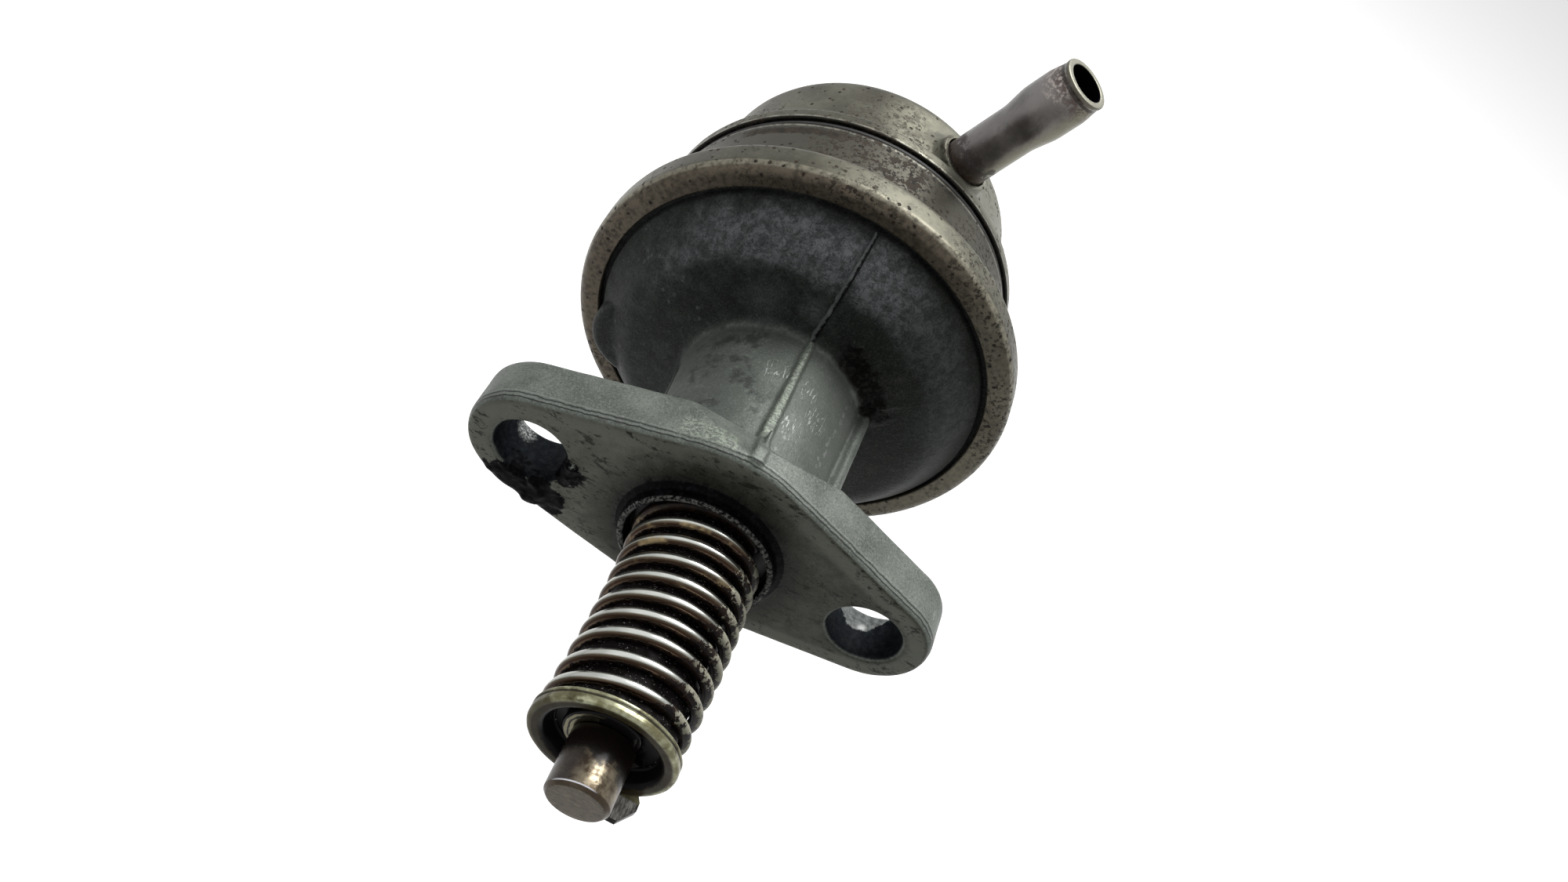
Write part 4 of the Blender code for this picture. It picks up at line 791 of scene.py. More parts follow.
def plunger_paint():
    """Ground steel, worn and browned, oily towards the cup."""
    p = Paint("worn_plunger")
    cloud = p.noise(1.8, 5.0, 0.65)
    ring = p.noise(0.4, 3.0, 0.6, stretch=(0.3, 2.5, 0.3))
    colour = p.mix(cloud.band(0.35, 0.65), (0.04, 0.027, 0.016), (0.2, 0.17, 0.12))
    colour.lay((0.06, 0.045, 0.03), ring.band(0.5, 0.7) * 0.4)
    face = p.ny.band(-0.75, -0.95)
    flat = p.mix(p.noise(0.8, 5.0, 0.7).band(0.3, 0.7), (0.022, 0.015, 0.007),
                 (0.062, 0.045, 0.022))
    brushed = p.noise(0.35, 3.0, 0.6, stretch=(0.35, 1.0, 2.5))
    flat.lay((0.12, 0.095, 0.055), brushed.band(0.47, 0.6) * 0.8)
    colour.lay(flat, face)
    shady = p.x.band(-0.6, -2.6) * p.ny.band(-0.5, -0.3)
    colour.lay((0.032, 0.024, 0.021), shady * 0.8)
    edge = p.ny.band(-0.1, -0.3) * p.ny.band(-0.97, -0.88) * p.y.band(-37.4, -37.9)
    colour.lay((0.05, 0.038, 0.027), edge * 0.85)
    aim = p.z * 0.92 + p.x * -0.4
    shine = p.ny.band(-0.05, -0.2) * p.ny.band(-0.68, -0.5) * aim.band(2.7, 3.5)
    colour.lay((0.6, 0.6, 0.64), shine * p.y.band(-37.4, -37.8))
    glint = p.times(p.x.line(0.5, 1.0), p.z.band(2.5, 3.2), p.y.band(-37.6, -36.8),
                    p.y.band(-32.8, -34.0), p.noise(0.5, 4.0, 0.7).band(0.42, 0.56))
    colour.lay((0.48, 0.41, 0.29), glint * 0.6)
    oil = (p.y + p.noise(2.4, 4.0, 0.6) * 5.0).band(-32.4, -31.2)
    oil = p.most(oil, p.x.band(1.8, 3.2) * p.y.band(-36.0, -35.0))
    colour.lay((0.014, 0.01, 0.008), oil)
    rough = p.blend(oil, p.blend(cloud, 0.2, 0.38), 0.22)
    p.bump(ring, 0.15, 0.05)
    p.bump(p.noise(0.8, 4.0, 0.7), 0.25, 0.06)
    metal = p.blend(p.most(oil, face * 0.4, shady * 0.6), 0.85, 0.0)
    return p.finish(colour, rough, metal, 0.3)


def cup_paint():
    """Yellow-green zinc on the rim, black oil in the dish."""
    p = Paint("zinc_cup")
    cloud = p.noise(2.0, 4.0, 0.65)
    fine = p.noise(0.6, 4.0, 0.7)
    out = p.across()
    zinc = p.mix(cloud.band(0.35, 0.7), (0.15, 0.14, 0.075), (0.42, 0.43, 0.29))
    # brown on the lower and left sides of the rim, partly a tint and partly painted shade
    brown = p.most(p.noise(3.0, 4.0, 0.6).band(0.54, 0.66), p.z.band(-2.0, -6.0),
                   p.x.band(-4.0, -7.0) * p.z.band(6.0, 2.5))
    zinc.lay((0.09, 0.078, 0.036), brown * 0.8)
    inner = out.band(8.8, 8.3) * p.y.band(CUP_BACK - 0.8, CUP_BACK - 1.0)
    zinc.lay((0.03, 0.02, 0.008), inner * 0.85)
    zinc.lay((0.02, 0.018, 0.014), fine.band(0.6, 0.75) * 0.8)
    zinc.lay((0.015, 0.012, 0.01), p.y.line(CUP_BACK - 0.55, 0.2) * 0.85)
    ragged = out + p.noise(1.2, 4.0, 0.65) * 1.2
    oil = ragged.band(8.35, 7.95) * p.y.band(DISH_FRONT + 0.6, DISH_FRONT + 0.2)
    tab = p.y.band(CUP_FRONT - 0.1, CUP_FRONT - 0.4)
    streak = p.noise(0.5, 4.0, 0.7, stretch=(2.0, 0.4, 1.0))
    metal_tab = p.mix(streak.band(0.4, 0.6), (0.17, 0.165, 0.15), (0.5, 0.49, 0.45))
    # the tongue turns black on its right as oil and on its faces that don't look up as painted
    # shade
    far = p.most(p.nz.band(0.6, 0.3), (p.x + cloud * 3.0).band(8.0, 9.0))
    metal_tab.lay(OIL, far)
    colour = p.mix(tab, p.mix(oil, zinc, OIL), metal_tab)
    rough = p.blend(oil, 0.28, 0.3)
    dull = p.most(oil, inner, brown * 0.85)
    p.bump(cloud, 0.15, 0.08)
    return p.finish(colour, rough, p.blend(dull, 0.75, 0.05), p.blend(dull, 0.3, 0.05))


def clip_paint():
    """Zinc, bare only on the left and black over the rest."""
    p = Paint("clip_zinc")
    cloud = p.noise(1.5, 4.0, 0.6)
    zinc = p.mix(cloud, (0.1, 0.09, 0.05), (0.24, 0.225, 0.145))
    ragged = p.x + cloud * 3.0
    spread = p.across() + cloud * 0.6
    # black over the right side, the outer edge and a ring
    oil = p.most(ragged.band(-1.0, 0.2), spread.band(5.2, 5.3), spread.line(4.75, 0.16))
    zinc.lay(OIL, oil)
    p.bump(cloud, 0.2, 0.05)
    return p.finish(zinc, 0.25, p.blend(oil, 0.8, 0.0), 0.08)


def plain_paint(name, light, dark, rough, metal, size=2.0, depth=0.04):
    """A simpler finish for the inner and shaded pieces: two tones and a fine grain."""
    p = Paint(name)
    cloud = p.noise(size, 4.0, 0.6)
    colour = p.mix(cloud.band(0.3, 0.7), dark, light)
    p.bump(p.noise(size / 5, 3.0, 0.6), 0.25, depth)
    return p.finish(colour, p.blend(cloud, rough * 0.8, rough * 1.2), metal)


# Casting
def flange_outline(inset):
    """The flange's edge: two ears round the holes, and a waist to the front and back."""
    ear_steps, waist_steps = 44, 26
    lean_front = math.asin((WAIST_FRONT - EAR_RADIUS) / HOLE_OFFSET)
    lean_back = math.asin((WAIST_BACK - EAR_RADIUS) / HOLE_OFFSET)
    down, up = -math.pi / 2, math.pi / 2
    points = []
    for x, radius, start, end, steps in (
        (0.0, WAIST_FRONT, down - lean_front, down + lean_front, waist_steps),
        (HOLE_OFFSET, EAR_RADIUS, down + lean_front, up - lean_back, ear_steps),
        (0.0, WAIST_BACK, up - lean_back, up + lean_back, waist_steps),
        (-HOLE_OFFSET, EAR_RADIUS, up + lean_back, 2 * math.pi + down - lean_front, ear_steps),
    ):
        for step in range(steps + 1):
            angle = start + (end - start) * step / steps
            points.append((x + (radius - inset) * math.cos(angle),
                           (radius - inset) * math.sin(angle)))
    return points


def flange_shape():
    """The slab, with a soft front edge and the mould's step just behind it."""
    front, back, shift = 0.9, 0.8, 0.12
    angles = [math.radians(degrees) for degrees in range(0, 91, 15)]
    layers = [(front * (1 - math.cos(angle)), front * (1 - math.sin(angle)) + shift)
              for angle in angles]
    layers += [(1.05, shift), (1.2, 0.0)]
    layers += [(FLANGE_THICK - back * (1 - math.cos(angle)), back * (1 - math.sin(angle)))
               for angle in reversed(angles)]
    return loft([[(x, y, level) for x, y in flange_outline(inset)] for level, inset in layers])


def relief_shape():
    """The two facets cut from the flange's back edge, either side of the ridge."""
    shapes = []
    for reach, drop, near, far in ((3.9, 3.55, RIDGE_OFFSET, 40.0), (2.8, 5.5, -40.0, 0.2)):
        inner, outer = WAIST_FRONT - reach * 1.4, WAIST_FRONT + reach * 0.4
        section = [(-inner, FLANGE_THICK + drop * 0.4), (-outer, FLANGE_THICK - drop * 1.4),
                   (-outer - reach, FLANGE_THICK + drop * 1.4)]
        shapes.append(loft([[(x, y, z) for y, z in section] for x in (near, far)]))
    return joined(*shapes)


def outside_corners():
    """The casting's outside from the flange to the lip."""
    return [
        (NECK_RADIUS, FLANGE_THICK + 1.5),
        (NECK_TOP_RADIUS, NECK_TOP, 1.8),
        (BELL_RADIUS - 4.6, BELL_LEVEL, 6.0),
        (BELL_RADIUS, LIP_LEVEL - GAP),
    ]


def strip(path, widths, proud, buried, rough, seed):
    """A rib on the casting's outside; its right side is straight, its crest ragged."""
    right = RIDGE_OFFSET + widths[1] / 2
    low, high = path[0][1], path[-1][1]
    middles = np.array([(RIDGE_OFFSET, -r, z) for r, z in path])
    crest = layered(middles, 1.6, seed, 3)
    width_noise = layered(middles, 1.1, seed + 7, 3)
    rings = []
    for index, (radius, level) in enumerate(path):
        share = (level - low) / (high - low)
        width = widths[0] + (widths[1] - widths[0]) * share
        width *= 1 + 0.35 * rough * width_noise[index]
        left = right - width
        before = Vector(path[max(index - 1, 0)])
        after = Vector(path[min(index + 1, len(path) - 1)])
        along = (after - before).normalized()
        out = Vector((along.y, -along.x))
        height = proud * (1 + rough * crest[index])
        top = Vector((radius, level)) + out * height
        foot = Vector((radius, level)) - out * buried
        rings.append([(left, -foot.x, foot.y), (right, -foot.x, foot.y),
                      (right - width * 0.12, -top.x, top.y), (left + width * 0.2, -top.x, top.y)])
    return loft(rings)


def web_shape(angle, proud):
    """A rib up the neck, with bevelled edges."""
    half, edge, rings = 1.2, 0.45, []
    for level, radius in ((FLANGE_THICK - 1.4, NECK_RADIUS), (NECK_TOP + 1.2, NECK_TOP_RADIUS)):
        inside, outside = radius - 1.2, radius + proud
        rings.append([(inside, -half, level), (outside - edge, -half, level),
                      (outside, -half + edge, level), (outside, half - edge, level),
                      (outside - edge, half, level), (inside, half, level)])
    return moved(loft(rings), Matrix.Rotation(angle, 4, "Z"))


def make_casting(paint, seam_paint):
    """Flange, neck and bell in one skin, with the parting crack as a piece of its own."""
    mouth, mouth_low, clamp = BELL_RADIUS - 2.16, 38.3, 40.3
    floor, floor_radius = 33.6, 22.2
    spring_bore, spring_floor, seal_bore, seal_floor = 9.8, 17.0, 7.0, 13.3
    rod_bore, sleeve_floor, washer_seat = 5.2, 12.3, 2.2
    profile = rounded([
        (SPIGOT_RADIUS - SPIGOT_WALL, -SPIGOT_PROUD, 0.25),
        (SPIGOT_RADIUS, -SPIGOT_PROUD, 0.3),
        (SPIGOT_RADIUS, -0.35, 0.3),
        (SPIGOT_RADIUS + 0.75, -0.15, 0.1),
        (SPIGOT_RADIUS + 0.75, 3.0),
        (NECK_RADIUS + 1.5, 3.0),
        (NECK_RADIUS + 1.5, FLANGE_THICK - 0.3),
        (NECK_RADIUS + 0.45, FLANGE_THICK + 0.45),
        *outside_corners(),
        (BELL_RADIUS, LIP_LEVEL + SHEET + GAP),
        (BEAD_RADIUS - SHEET - 2 * GAP, LIP_LEVEL + SHEET + GAP, GAP),
        (BEAD_RADIUS - SHEET - 2 * GAP, clamp),
        (mouth, clamp),
        (mouth, mouth_low),
        (floor_radius, floor, 2.0),
        (spring_bore, floor),
        (spring_bore, spring_floor),
        (seal_bore, spring_floor),
        (seal_bore, seal_floor),
        (rod_bore, seal_floor),
        (rod_bore, sleeve_floor),
        (SLEEVE_RADIUS + GAP, sleeve_floor),
        (SLEEVE_RADIUS + GAP, washer_seat),
        (SPIGOT_RADIUS - SPIGOT_WALL, washer_seat),
    ])
    body = make("casting", lathe(profile, CAST))
    plate = make("plate", flange_shape())
    combine(plate, cylinder(SPIGOT_RADIUS - 0.45, -3.0, 10.0, CAST), "DIFFERENCE")
    combine(plate, relief_shape(), "DIFFERENCE")
    bake(plate)
    combine(body, plate, "UNION")

    # the ridge: a fin on the flange's front edge, which runs on up the neck
    path = rounded(outside_corners())
    fin = [(WAIST_FRONT - 0.4, 1.1), (WAIST_FRONT - 0.4, 3.2), (WAIST_FRONT - 1.7, 5.7),
           (NECK_RADIUS + 1.5, 8.2), (NECK_RADIUS + 0.3, 9.8)]
    neck = [point for point in path if point[1] < NECK_TOP - 0.6][1:]
    ridge = divided(fin + neck, 0.5, closed=False)
    combine(body, strip(ridge, (2.4, 1.1), 0.8, 1.2, 0.12, 3), "UNION")
    combine(body, joined(web_shape(BOSS_ANGLE + math.pi, 1.6), web_shape(BOSS_ANGLE, 1.0)), "UNION")

    # the round boss at the bell's edge, cut off where it would reach inside
    boss_radius, boss_low, boss_high = 7.0, LIP_LEVEL - 4.2, LIP_LEVEL - 0.36
    boss = make("boss", lathe(rounded([
        (0.0, boss_low), (boss_radius, boss_low, 1.6), (boss_radius, boss_high),
        (0.0, boss_high)]), SMALL))
    centre = BELL_RADIUS - boss_radius + 0.7
    boss.data.transform(Matrix.Translation(
        Vector((centre * math.cos(BOSS_ANGLE), 0, -centre * math.sin(BOSS_ANGLE))) * MM))
    low, slope_end, high, wide = 32.4, 37.2, 38.2, mouth + 0.6
    combine(boss, lathe([(0.0, low), (floor_radius, low), (wide, slope_end), (wide, high),
                         (0.0, high)], CAST), "DIFFERENCE")
    bake(boss)
    combine(body, boss, "UNION")
    # the bolt holes, widened at both ends
    wide, past, depth = HOLE_RADIUS + 1.1, 0.6, 0.5
    hole = lathe([(0.0, -past), (wide, -past), (HOLE_RADIUS, depth),
                  (HOLE_RADIUS, FLANGE_THICK - depth), (wide, FLANGE_THICK + past),
                  (0.0, FLANGE_THICK + past)], 80)
    holes = [moved(hole, Matrix.Translation((side * HOLE_OFFSET, 0, 0))) for side in (-1, 1)]
    combine(body, joined(*holes), "DIFFERENCE")
    remesh = body.modifiers.new("remesh", "REMESH")
    remesh.mode = "VOXEL"
    remesh.voxel_size = 0.24 * MM
    soften = body.modifiers.new("soften", "SMOOTH")
    soften.factor, soften.iterations = 0.5, 3
    bake(body)
    body.data.shade_smooth()

    points, normals = points_of(body)
    shift = layered(points, 7.0, 1, 3) * 0.06 + layered(points, 1.5, 5, 2) * 0.02
    # lumps of grease below the left hole and a crust of soot beside the neck
    lumps = layered(points, 1.6, 11, 3)
    for centre, radius, height in (
        ((-24.5, 8.2, 0.5), 4.6, 0.32),
        ((-20.5, 6.5, 0.0), 3.6, 0.3),
        ((-19.3, 0.3, 1.0), 3.0, 0.9),
        ((11.5, -11.5, 30.2), 4.6, 0.3),
        ((14.3, -6.5, 30.4), 2.6, 0.25),
    ):
        away = np.linalg.norm(points - np.array(centre), axis=1)
        shift += smooth_step(radius - away + lumps * 1.6, 0.0, 1.4) * height * (0.7 + 0.5 * lumps)
    hidden = points[:, 2] > LIP_LEVEL - 0.6
    inside = (np.hypot(points[:, 0], points[:, 1]) < SPIGOT_RADIUS) & (points[:, 2] > 0.5)
    shift[hidden | inside] = 0.0
    set_points(body, points + normals * shift[:, None])
    body.data.materials.append(paint)
    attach(body, "casing")
    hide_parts("pump_body")

    crest = [point for point in path[1:] if point[1] > NECK_TOP - 1.8]
    crest = divided(crest, 0.25, closed=False)
    seam = make("casting_seam", strip(crest, (1.1, 0.8), 0.4, 0.6, 1.0, 21), seam_paint)
    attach(seam, "casing")


# Sheet metal
def make_drum(paint):
    """The pressed drum, its bead crimped round the casting's lip."""
    opening, neck_top = COVER_RADIUS + GAP, BAND_TOP - SHEET - GAP
    profile = divided(rounded([
        (LIP_RADIUS, LIP_LEVEL, 0.32),
        (BEAD_RADIUS, LIP_LEVEL, 1.9),
        (BEAD_RADIUS, BEAD_TOP, 1.7),
        (DRUM_RADIUS, BEAD_TOP, 0.6),
        (DRUM_RADIUS, DRUM_TOP, 0.4),
        (DRUM_NECK, DRUM_TOP, 0.3),
        (DRUM_NECK, neck_top, 0.48),
        (opening, neck_top),
        (opening, neck_top - SHEET),
        (DRUM_NECK - SHEET, neck_top - SHEET),
        (DRUM_NECK - SHEET, DRUM_TOP - SHEET),
        (DRUM_RADIUS - SHEET, DRUM_TOP - SHEET),
        (DRUM_RADIUS - SHEET, BEAD_TOP - SHEET),
        (BEAD_RADIUS - SHEET, BEAD_TOP - SHEET, 1.0),
        (BEAD_RADIUS - SHEET, LIP_LEVEL + SHEET, 1.0),
        (LIP_RADIUS, LIP_LEVEL + SHEET, 0.32),
    ]), 1.0)
    drum = make("drum", lathe(profile, LARGE), paint)
    wobble(drum, 9.0, 0.05, 2)
    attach(drum, "casing")
    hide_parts("drum_shell")


def make_gasket(paint):
    """The dark ring in the slot between drum and cap."""
    ring = make("seam_gasket", lathe(rounded([
        (DRUM_NECK + 0.15, DRUM_TOP + 0.15), (DRUM_RADIUS - 0.15, DRUM_TOP + 0.15, 0.1),
        (DRUM_RADIUS - 0.15, BAND_LOW - 0.15, 0.1), (DRUM_NECK + 0.15, BAND_LOW - 0.15),
    ]), LARGE), paint)
    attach(ring, "casing")
    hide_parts("cover_gasket")


def radial(angle):
    """The matrix that lays a shape's own axis along a pipe."""
    return (Matrix.Translation((0, 0, PIPE_LEVEL)) @ Matrix.Rotation(angle, 4, "Z")
            @ Matrix.Rotation(math.pi / 2, 4, "Y"))


def make_cover(paint):
    """The pressed cap, with a drawn collar round each pipe."""
    skirt, inside = BAND_RADIUS - SHEET, COVER_RADIUS - SHEET
    hole = PIPE_RADIUS + GAP
    foot, root, collar, top = 22.0, hole + 4.2, hole + 0.75, COVER_RADIUS + 1.9
    profile = divided(rounded([
        (skirt, BAND_LOW, 0.2),
        (BAND_RADIUS, BAND_LOW, 0.3),
        (BAND_RADIUS, BAND_TOP, 1.1),
        (COVER_RADIUS, BAND_TOP + 0.3, 1.5),
        (COVER_RADIUS, COVER_TOP, 3.0),
        (0.0, COVER_TOP),
        (0.0, COVER_TOP - SHEET),
        (inside, COVER_TOP - SHEET, 2.2),
        (inside, BAND_TOP - SHEET),
        (skirt, BAND_TOP - SHEET),
    ]), 1.2)
    cover = make("cap", lathe(profile, LARGE), paint)
    collars = [moved(lathe(rounded([
        (0.0, foot),
        (root, foot),
        (root, PIPE_SEAT),
        (collar, COVER_RADIUS + 0.25, 2.6),
        (collar, top, 0.35),
        (0.0, top),
    ]), MEDIUM), radial(angle)) for angle in (PIPE_ANGLE, PIPE_ANGLE + math.pi)]
    combine(cover, joined(*collars), "UNION")
    # what the collars leave inside the cap, and the pipes' way through
    combine(cover, cylinder(inside, 50.0, 73.5, LARGE), "DIFFERENCE")
    past = 32.0
    way = moved(cylinder(hole, -past, past, MEDIUM), radial(PIPE_ANGLE))
    combine(cover, way, "DIFFERENCE")
    bake(cover)
    cover.data.set_sharp_from_angle(angle=math.radians(EDGE))
    wobble(cover, 10.0, 0.05, 4)
    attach(cover, "casing")
    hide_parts("top_cover")


def make_pipe(name, node, angle, paint):
    """A hose pipe: flared inside the cap, swollen towards its lipped open end."""
    bore, flare, bulge = PIPE_RADIUS - SHEET, PIPE_RADIUS + SHEET, PIPE_RADIUS + 0.58
    start = PIPE_REACH - 11.5
    profile = divided(rounded([
        (bore, PIPE_SEAT - SHEET, 0.2),
        (flare, PIPE_SEAT - SHEET),
        (flare, PIPE_SEAT),
        (PIPE_RADIUS, PIPE_SEAT),
        (PIPE_RADIUS, start - 0.4, 8.0),
        (bulge, start + 3.4, 8.0),
        (bulge, PIPE_REACH - 3.4, 6.0),
        (PIPE_RADIUS + 0.14, PIPE_REACH - 0.75, 0.8),
        (PIPE_RADIUS + 0.25, PIPE_REACH - 0.55, 0.2),
        (PIPE_RADIUS + 0.25, PIPE_REACH - 0.05, 0.3),
        (PIPE_RADIUS - 0.15, PIPE_REACH, 0.2),
        (bore, PIPE_REACH, 0.25),
    ]), 0.8)
    pipe = make(name, moved(lathe(profile, SMALL), radial(angle)), paint)
    wobble(pipe, 5.0, 0.035, 8)
    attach(pipe, "casing")
    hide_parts(node)


# Plunger side
def coil(mean, wire, levels, turns, per_turn, sides, lean=0.0):
    """A spring whose wire passes levels(turn) at each turn; it may bow to one side."""
    rings = []
    steps = round(turns * per_turn)
    low, high = levels(0.0), levels(turns)
    for step in range(steps + 1):
        turn = turns * step / steps
        level = levels(turn)
        angle = 2 * math.pi * turn
        cos, sin = math.cos(angle), math.sin(angle)
        bow = lean * math.sin(math.pi * (level - low) / (high - low))
        thin = 0.6 if step in (0, steps) else 1.0
        ring = []
        for side in range(sides):
            around = 2 * math.pi * side / sides
            out = mean + wire * thin * math.cos(around)
            ring.append((bow + out * cos, out * sin, level + wire * thin * math.sin(around)))
        rings.append(ring)
    return loft(rings)


def even(low, high, turns, wire, flat):
    """Levels for a closed-end spring between two faces."""
    first, last = low + wire, high - wire
    return lambda turn: float(np.interp(turn, [0.0, 1.0, turns - 1.0, turns],
                                        [first, first + flat, last - flat, last]))


def make_springs(paint):
    """The return spring with the oil in it, and the delivery spring."""
    low, high, wire = CUP_BACK + GAP, 0.8, 0.8
    # the turns that the photograph shows, one every 2.9 mm and wider at the cup
    turns = 9.9
    shown = [low + wire, -27.7, -24.35, -21.0, -18.15, -15.25, -12.35, -9.5, -6.55, -3.75,
             high - wire]
    at = [0.0] + [0.64 + step for step in range(9)] + [turns]
    shape = coil(8.0, wire, lambda turn: float(np.interp(turn, at, shown)), turns,
                 per_turn=72, sides=20, lean=0.6)
    main = make("main_spring", shape, paint, SPRING_EDGE)
    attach(main, "casing")
    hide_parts("return_spring")
    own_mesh(main)

    # black oil that clings inside the turns
    film = [(6.25, low + 0.1), (7.9, low + 0.1), (7.45, low + 4.0), (7.25, 0.2), (6.25, 0.2)]
    grease = make("spring_grease", lathe(divided(film, 0.35), 150), grease_paint())
    points, normals = points_of(grease)
    outer = np.hypot(points[:, 0], points[:, 1]) > 6.8
    lumps = layered(points, 2.2, 31, 3)
    set_points(grease, points + normals * np.where(outer, lumps * 0.4, 0.0)[:, None])
    grease.data.shade_smooth()
    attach(grease, "casing")
    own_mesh(grease)

    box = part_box("delivery_spring")
    low, high = box[0][1] / MM, box[1][1] / MM
    wire, turns = 0.6, 5.0
    shape = coil(6.6, wire, even(low, high, turns, wire, 1.38), turns, per_turn=48, sides=12)
    inner = make("inner_spring", shape, paint, SPRING_EDGE)
    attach(inner, "plunger")
    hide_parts("delivery_spring")


def make_valve_springs(paint):
    """The two small springs, one on each side of the axis."""
    offset, wire, turns = 11.5, 0.2, 3.5
    for side, name in ((1, "outlet_valve"), (-1, "inlet_valve")):
        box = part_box(name + "_spring")
        low, high = box[0][1] / MM, box[1][1] / MM
        shift = Matrix.Translation((side * offset * math.cos(PIPE_ANGLE),
                                    side * offset * math.sin(PIPE_ANGLE), 0))
        shape = coil(2.4, wire, even(low, high, turns, wire, 0.52), turns, per_turn=32, sides=10)
        spring = make(name + "_coil", moved(shape, shift), paint, SPRING_EDGE)
        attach(spring, "casing")
        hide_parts(name + "_spring")
        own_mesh(spring)


def make_diaphragm(paint):
    """The membrane, drawn down at rest, with a rolled fold between plates and rim."""
    centre, clamp, thick, reach = 35.6, 40.6, 1.3, 31.6
    fold_start, fold_end = 17.15, 26.1
    lower = [(1.8, centre), (fold_start, centre)]
    for step in range(1, 14):
        share = step / 14
        lower.append((fold_start + (fold_end - fold_start) * share,
                      centre + (clamp - centre) * (1 - math.cos(math.pi * share)) / 2))
    lower += [(fold_end, clamp), (reach, clamp)]
    upper = [(radius, level + thick) for radius, level in reversed(lower)]
    membrane = make("membrane", lathe(lower + upper, MEDIUM), paint)
    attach(membrane, "casing")
    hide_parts("diaphragm")
    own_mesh(membrane)


def make_plunger(paint):
    """The pin, with a worn tip, a groove for the clip, a collar and a hollow inner end."""
    groove, groove_low, groove_high = PLUNGER_RADIUS - 0.6, CLIP_LOW - GAP, CLIP_HIGH + GAP
    worn = 0.45
    collar, collar_low, collar_high = 7.6, 18.4, 19.6
    socket, socket_floor, end = PLUNGER_RADIUS - 1.1, 13.6, 24.0
    profile = divided(rounded([
        (0.0, TIP),
        (PLUNGER_RADIUS - worn, TIP, 0.3),
        (PLUNGER_RADIUS, TIP + worn, 0.3),
        (PLUNGER_RADIUS, groove_low, 0.1),
        (groove, groove_low),
        (groove, groove_high),
        (PLUNGER_RADIUS, groove_high, 0.1),
        (PLUNGER_RADIUS, collar_low),
        (collar, collar_low, 0.2),
        (collar, collar_high, 0.2),
        (PLUNGER_RADIUS, collar_high),
        (PLUNGER_RADIUS, end, 0.2),
        (socket, end),
        (socket, socket_floor),
        (0.0, socket_floor),
    ]), 1.0)
    pin = make("worn_pin", lathe(profile, SMALL), paint)
    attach(pin, "plunger")
    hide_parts("plunger")


def make_cup(paint):
    """A dished washer with a rolled rim and a small tongue."""
    dish_outer, dish_inner = 6.9, CUP_RADIUS - 1.9
    profile = divided(rounded([
        (PLUNGER_RADIUS + RUNNING_GAP, DISH_FRONT),
        (dish_inner - 0.6, DISH_FRONT, 0.6),
        (dish_inner, CUP_FRONT, 0.8),
        (CUP_RADIUS, CUP_FRONT, 0.85),
        (CUP_RADIUS, CUP_BACK - 0.75, 0.3),
        (CUP_RADIUS - 0.2, CUP_BACK - 0.55, 0.2),
        (CUP_RADIUS, CUP_BACK - 0.35, 0.2),
        (CUP_RADIUS, CUP_BACK, 0.3),
        (dish_outer, CUP_BACK, 0.3),
        (dish_outer, DISH_FRONT + 1.0, 0.4),
        (PLUNGER_RADIUS + RUNNING_GAP, DISH_FRONT + 1.0),
    ]), 0.6)
    cup = make("cup", lathe(profile, MEDIUM), paint)
    # the tongue, a plate with slanted sides
    root, tip, under, over = CUP_FRONT + 0.85, CUP_FRONT - 3.2, 6.9, 8.1
    outline = [(0.0, root), (6.9, root), (7.4, CUP_FRONT), (7.4, CUP_FRONT - 1.1), (5.8, tip),
               (0.8, tip)]
    combine(cup, loft([[(x, y, z) for x, z in outline] for y in (under, over)]), "UNION")
    bevel = cup.modifiers.new("edges", "BEVEL")
    bevel.width, bevel.segments = 0.15 * MM, 2
    bevel.limit_method, bevel.angle_limit = "ANGLE", math.radians(50.0)
    bake(cup)
    cup.data.shade_smooth()
    cup.data.set_sharp_from_angle(angle=math.radians(CUP_EDGE))
    wobble(cup, 2.5, 0.05, 6)
    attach(cup, "plunger")
    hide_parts("spring_cup")


def make_clip(paint):
    """Open ring with rounded edges, in the plunger's groove."""
    inner, outer = 3.6, 5.3
    section = rounded([(inner, CLIP_LOW, 0.15), (outer, CLIP_LOW, 0.3), (outer, CLIP_HIGH, 0.3),
                       (inner, CLIP_HIGH, 0.15)], math.radians(30.0))
    start, sweep, steps = 15.0, 290.0, 72
    rings = []
    for step in range(steps + 1):
        angle = math.radians(start + sweep * step / steps)
        rings.append([(r * math.cos(angle), r * math.sin(angle), z) for r, z in section])
    clip = make("snap_ring", loft(rings), paint)
    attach(clip, "plunger")
    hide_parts("retaining_clip")


def make_ring(name, node, paint, inner, outer, low, high, edge):
    """A plain ring round the axis, fixed to the casting."""
    profile = divided(rounded([(inner, low, edge), (outer, low, edge), (outer, high, edge),
                               (inner, high, edge)]), 2.0)
    ring = make(name, lathe(profile, SMALL), paint)
    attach(ring, "casing")
    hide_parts(node)


# Stage, lights and camera
def make_stage():
    """A pale floor that also glows a little for the rays that see it."""
    reach, level = 3.0, -0.16
    mesh = bpy.data.meshes.new("floor")
    corners = [(x, y, level) for x, y in ((-reach, -reach), (reach, -reach), (reach, reach),
                                          (-reach, reach))]
    mesh.from_pydata(corners, [], [(0, 1, 2, 3)])
    floor = bpy.data.objects.new("floor", mesh)
    bpy.context.collection.objects.link(floor)
    p = Paint("floor")
    glow = p.node("ShaderNodeEmission", 0, {"Strength": p.seen() * 0.55})
    both = p.node("ShaderNodeAddShader", 0, {0: p.shader.outputs[0], 1: glow})
    p.feed(p.tree.nodes["Material Output"].inputs["Surface"], both)
    mesh.materials.append(p.finish((0.82, 0.82, 0.82), 0.9, 0.0, 0.0))


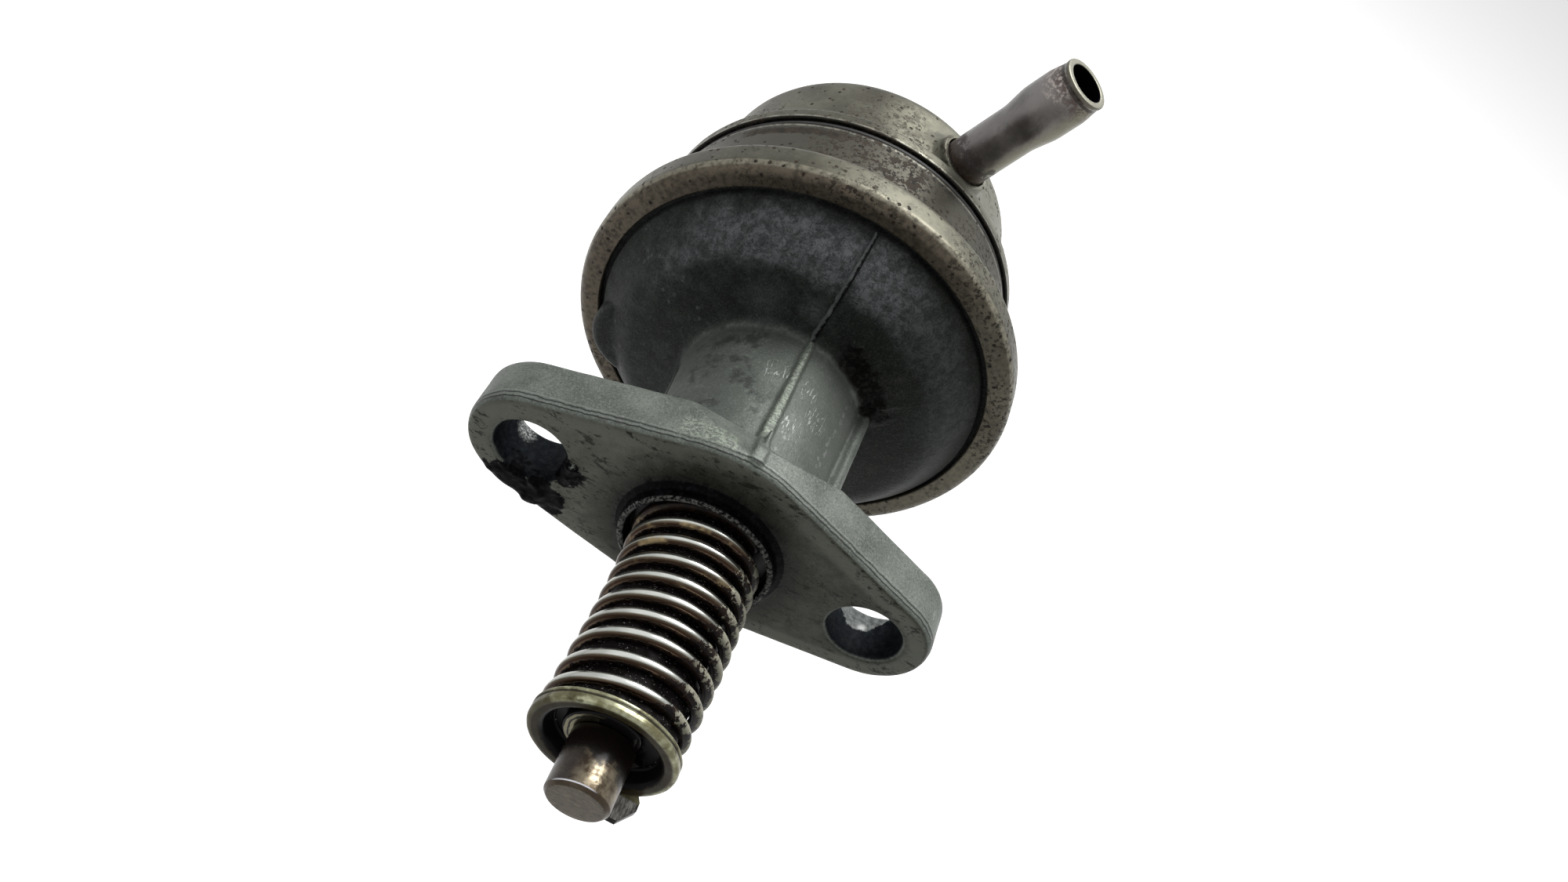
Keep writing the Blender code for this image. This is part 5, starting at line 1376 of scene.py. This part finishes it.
def make_world():
    """White all round, but weaker as a light than it is seen."""
    world = bpy.data.worlds.new("studio")
    bpy.context.scene.world = world
    world.use_nodes = True
    tree = Tree(world.node_tree)
    strength = tree.node("ShaderNodeMapRange", "Result",
                         {"Value": tree.seen(), "To Min": 0.2, "To Max": 1.0})
    background = world.node_tree.nodes["Background"].inputs
    tree.feed(background["Color"], (1.0, 1.0, 1.0))
    tree.feed(background["Strength"], strength)


def make_lamp(name, place, size, power):
    """A square lamp that looks at the middle of the pump."""
    lamp = bpy.data.lights.new(name, "AREA")
    lamp.shape = "SQUARE"
    lamp.size = size
    lamp.energy = power
    thing = bpy.data.objects.new(name, lamp)
    thing.location = place
    target = Vector((0.0, 0.025, 0.0))
    thing.rotation_euler = (Vector(place) - target).to_track_quat("Z", "Y").to_euler()
    bpy.context.collection.objects.link(thing)


def make_camera():
    """The photograph's camera, from the ellipses of the pump's round edges."""
    right = Vector((0.8676, 0.3012, 0.3957))
    up = Vector((-0.4881, 0.6684, 0.5612))
    ahead = Vector((0.0955, 0.6801, -0.7269))
    camera = bpy.data.cameras.new("camera")
    camera.sensor_width = 36.0
    camera.lens = 30.347
    camera.clip_start = 0.001
    thing = bpy.data.objects.new("camera", camera)
    matrix = Matrix((right, up, -ahead)).transposed().to_4x4()
    matrix.translation = Vector((-13.05, -101.92, 133.53)) * MM
    thing.matrix_world = matrix
    bpy.context.collection.objects.link(thing)
    bpy.context.scene.camera = thing


def main():
    """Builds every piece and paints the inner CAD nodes."""
    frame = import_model()
    bpy.context.scene.view_settings.view_transform = "Standard"
    make_camera()
    make_stage()
    make_world()
    make_lamp("key", (0.12, 0.40, 0.50), 0.4, 4.4)
    make_lamp("fill", (-0.45, -0.35, 0.35), 0.5, 0.35)

    shell = shell_paint("zinc_shell")
    pipes = pipe_paint()
    wire = wire_paint()
    rubber = plain_paint("black_rubber", (0.03, 0.03, 0.03), (0.015, 0.015, 0.015), 0.6, 0.0)
    dark = plain_paint("oiled_steel", (0.016, 0.015, 0.014), (0.006, 0.005, 0.005), 0.4, 0.2)
    plate = plain_paint("plated_steel", (0.5, 0.49, 0.44), (0.35, 0.34, 0.3), 0.35, 0.9)
    brass = plain_paint("pressed_brass", (0.55, 0.4, 0.18), (0.4, 0.28, 0.12), 0.35, 0.9)
    alloy = plain_paint("housing_alloy", (0.42, 0.43, 0.43), (0.3, 0.31, 0.31), 0.5, 0.6, 4.0, 0.08)

    make_casting(casting_paint(), casting_paint(seam=True))
    make_drum(shell)
    make_gasket(rubber)
    make_cover(shell)
    make_pipe("hose_pipe_out", "outlet_pipe", PIPE_ANGLE, pipes)
    make_pipe("hose_pipe_in", "inlet_pipe", PIPE_ANGLE + math.pi, pipes)
    make_springs(wire)
    make_valve_springs(plate)
    make_diaphragm(rubber)
    make_plunger(plunger_paint())
    make_cup(cup_paint())
    make_clip(clip_paint())
    make_ring("sleeve", "guide_sleeve", dark, PLUNGER_RADIUS + RUNNING_GAP, SLEEVE_RADIUS,
              SLEEVE_LOW, SLEEVE_HIGH, 0.3)
    make_ring("seat_washer", "spring_seat_washer", dark, SLEEVE_RADIUS + GAP, WASHER_RADIUS,
              WASHER_LOW, WASHER_HIGH, 0.15)

    for paint, nodes in (
        (rubber, "rod_seal outlet_valve_disc inlet_valve_disc"),
        (plate, "seal_retainer rod_retainer lower_plate upper_plate pull_rod rod_nut"),
        (brass, "outlet_valve_cage inlet_valve_cage strainer"),
        (alloy, "valve_housing"),
    ):
        for node in nodes.split():
            for place in frame["nodes"][node].material_slots:
                place.material = paint

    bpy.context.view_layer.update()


main()
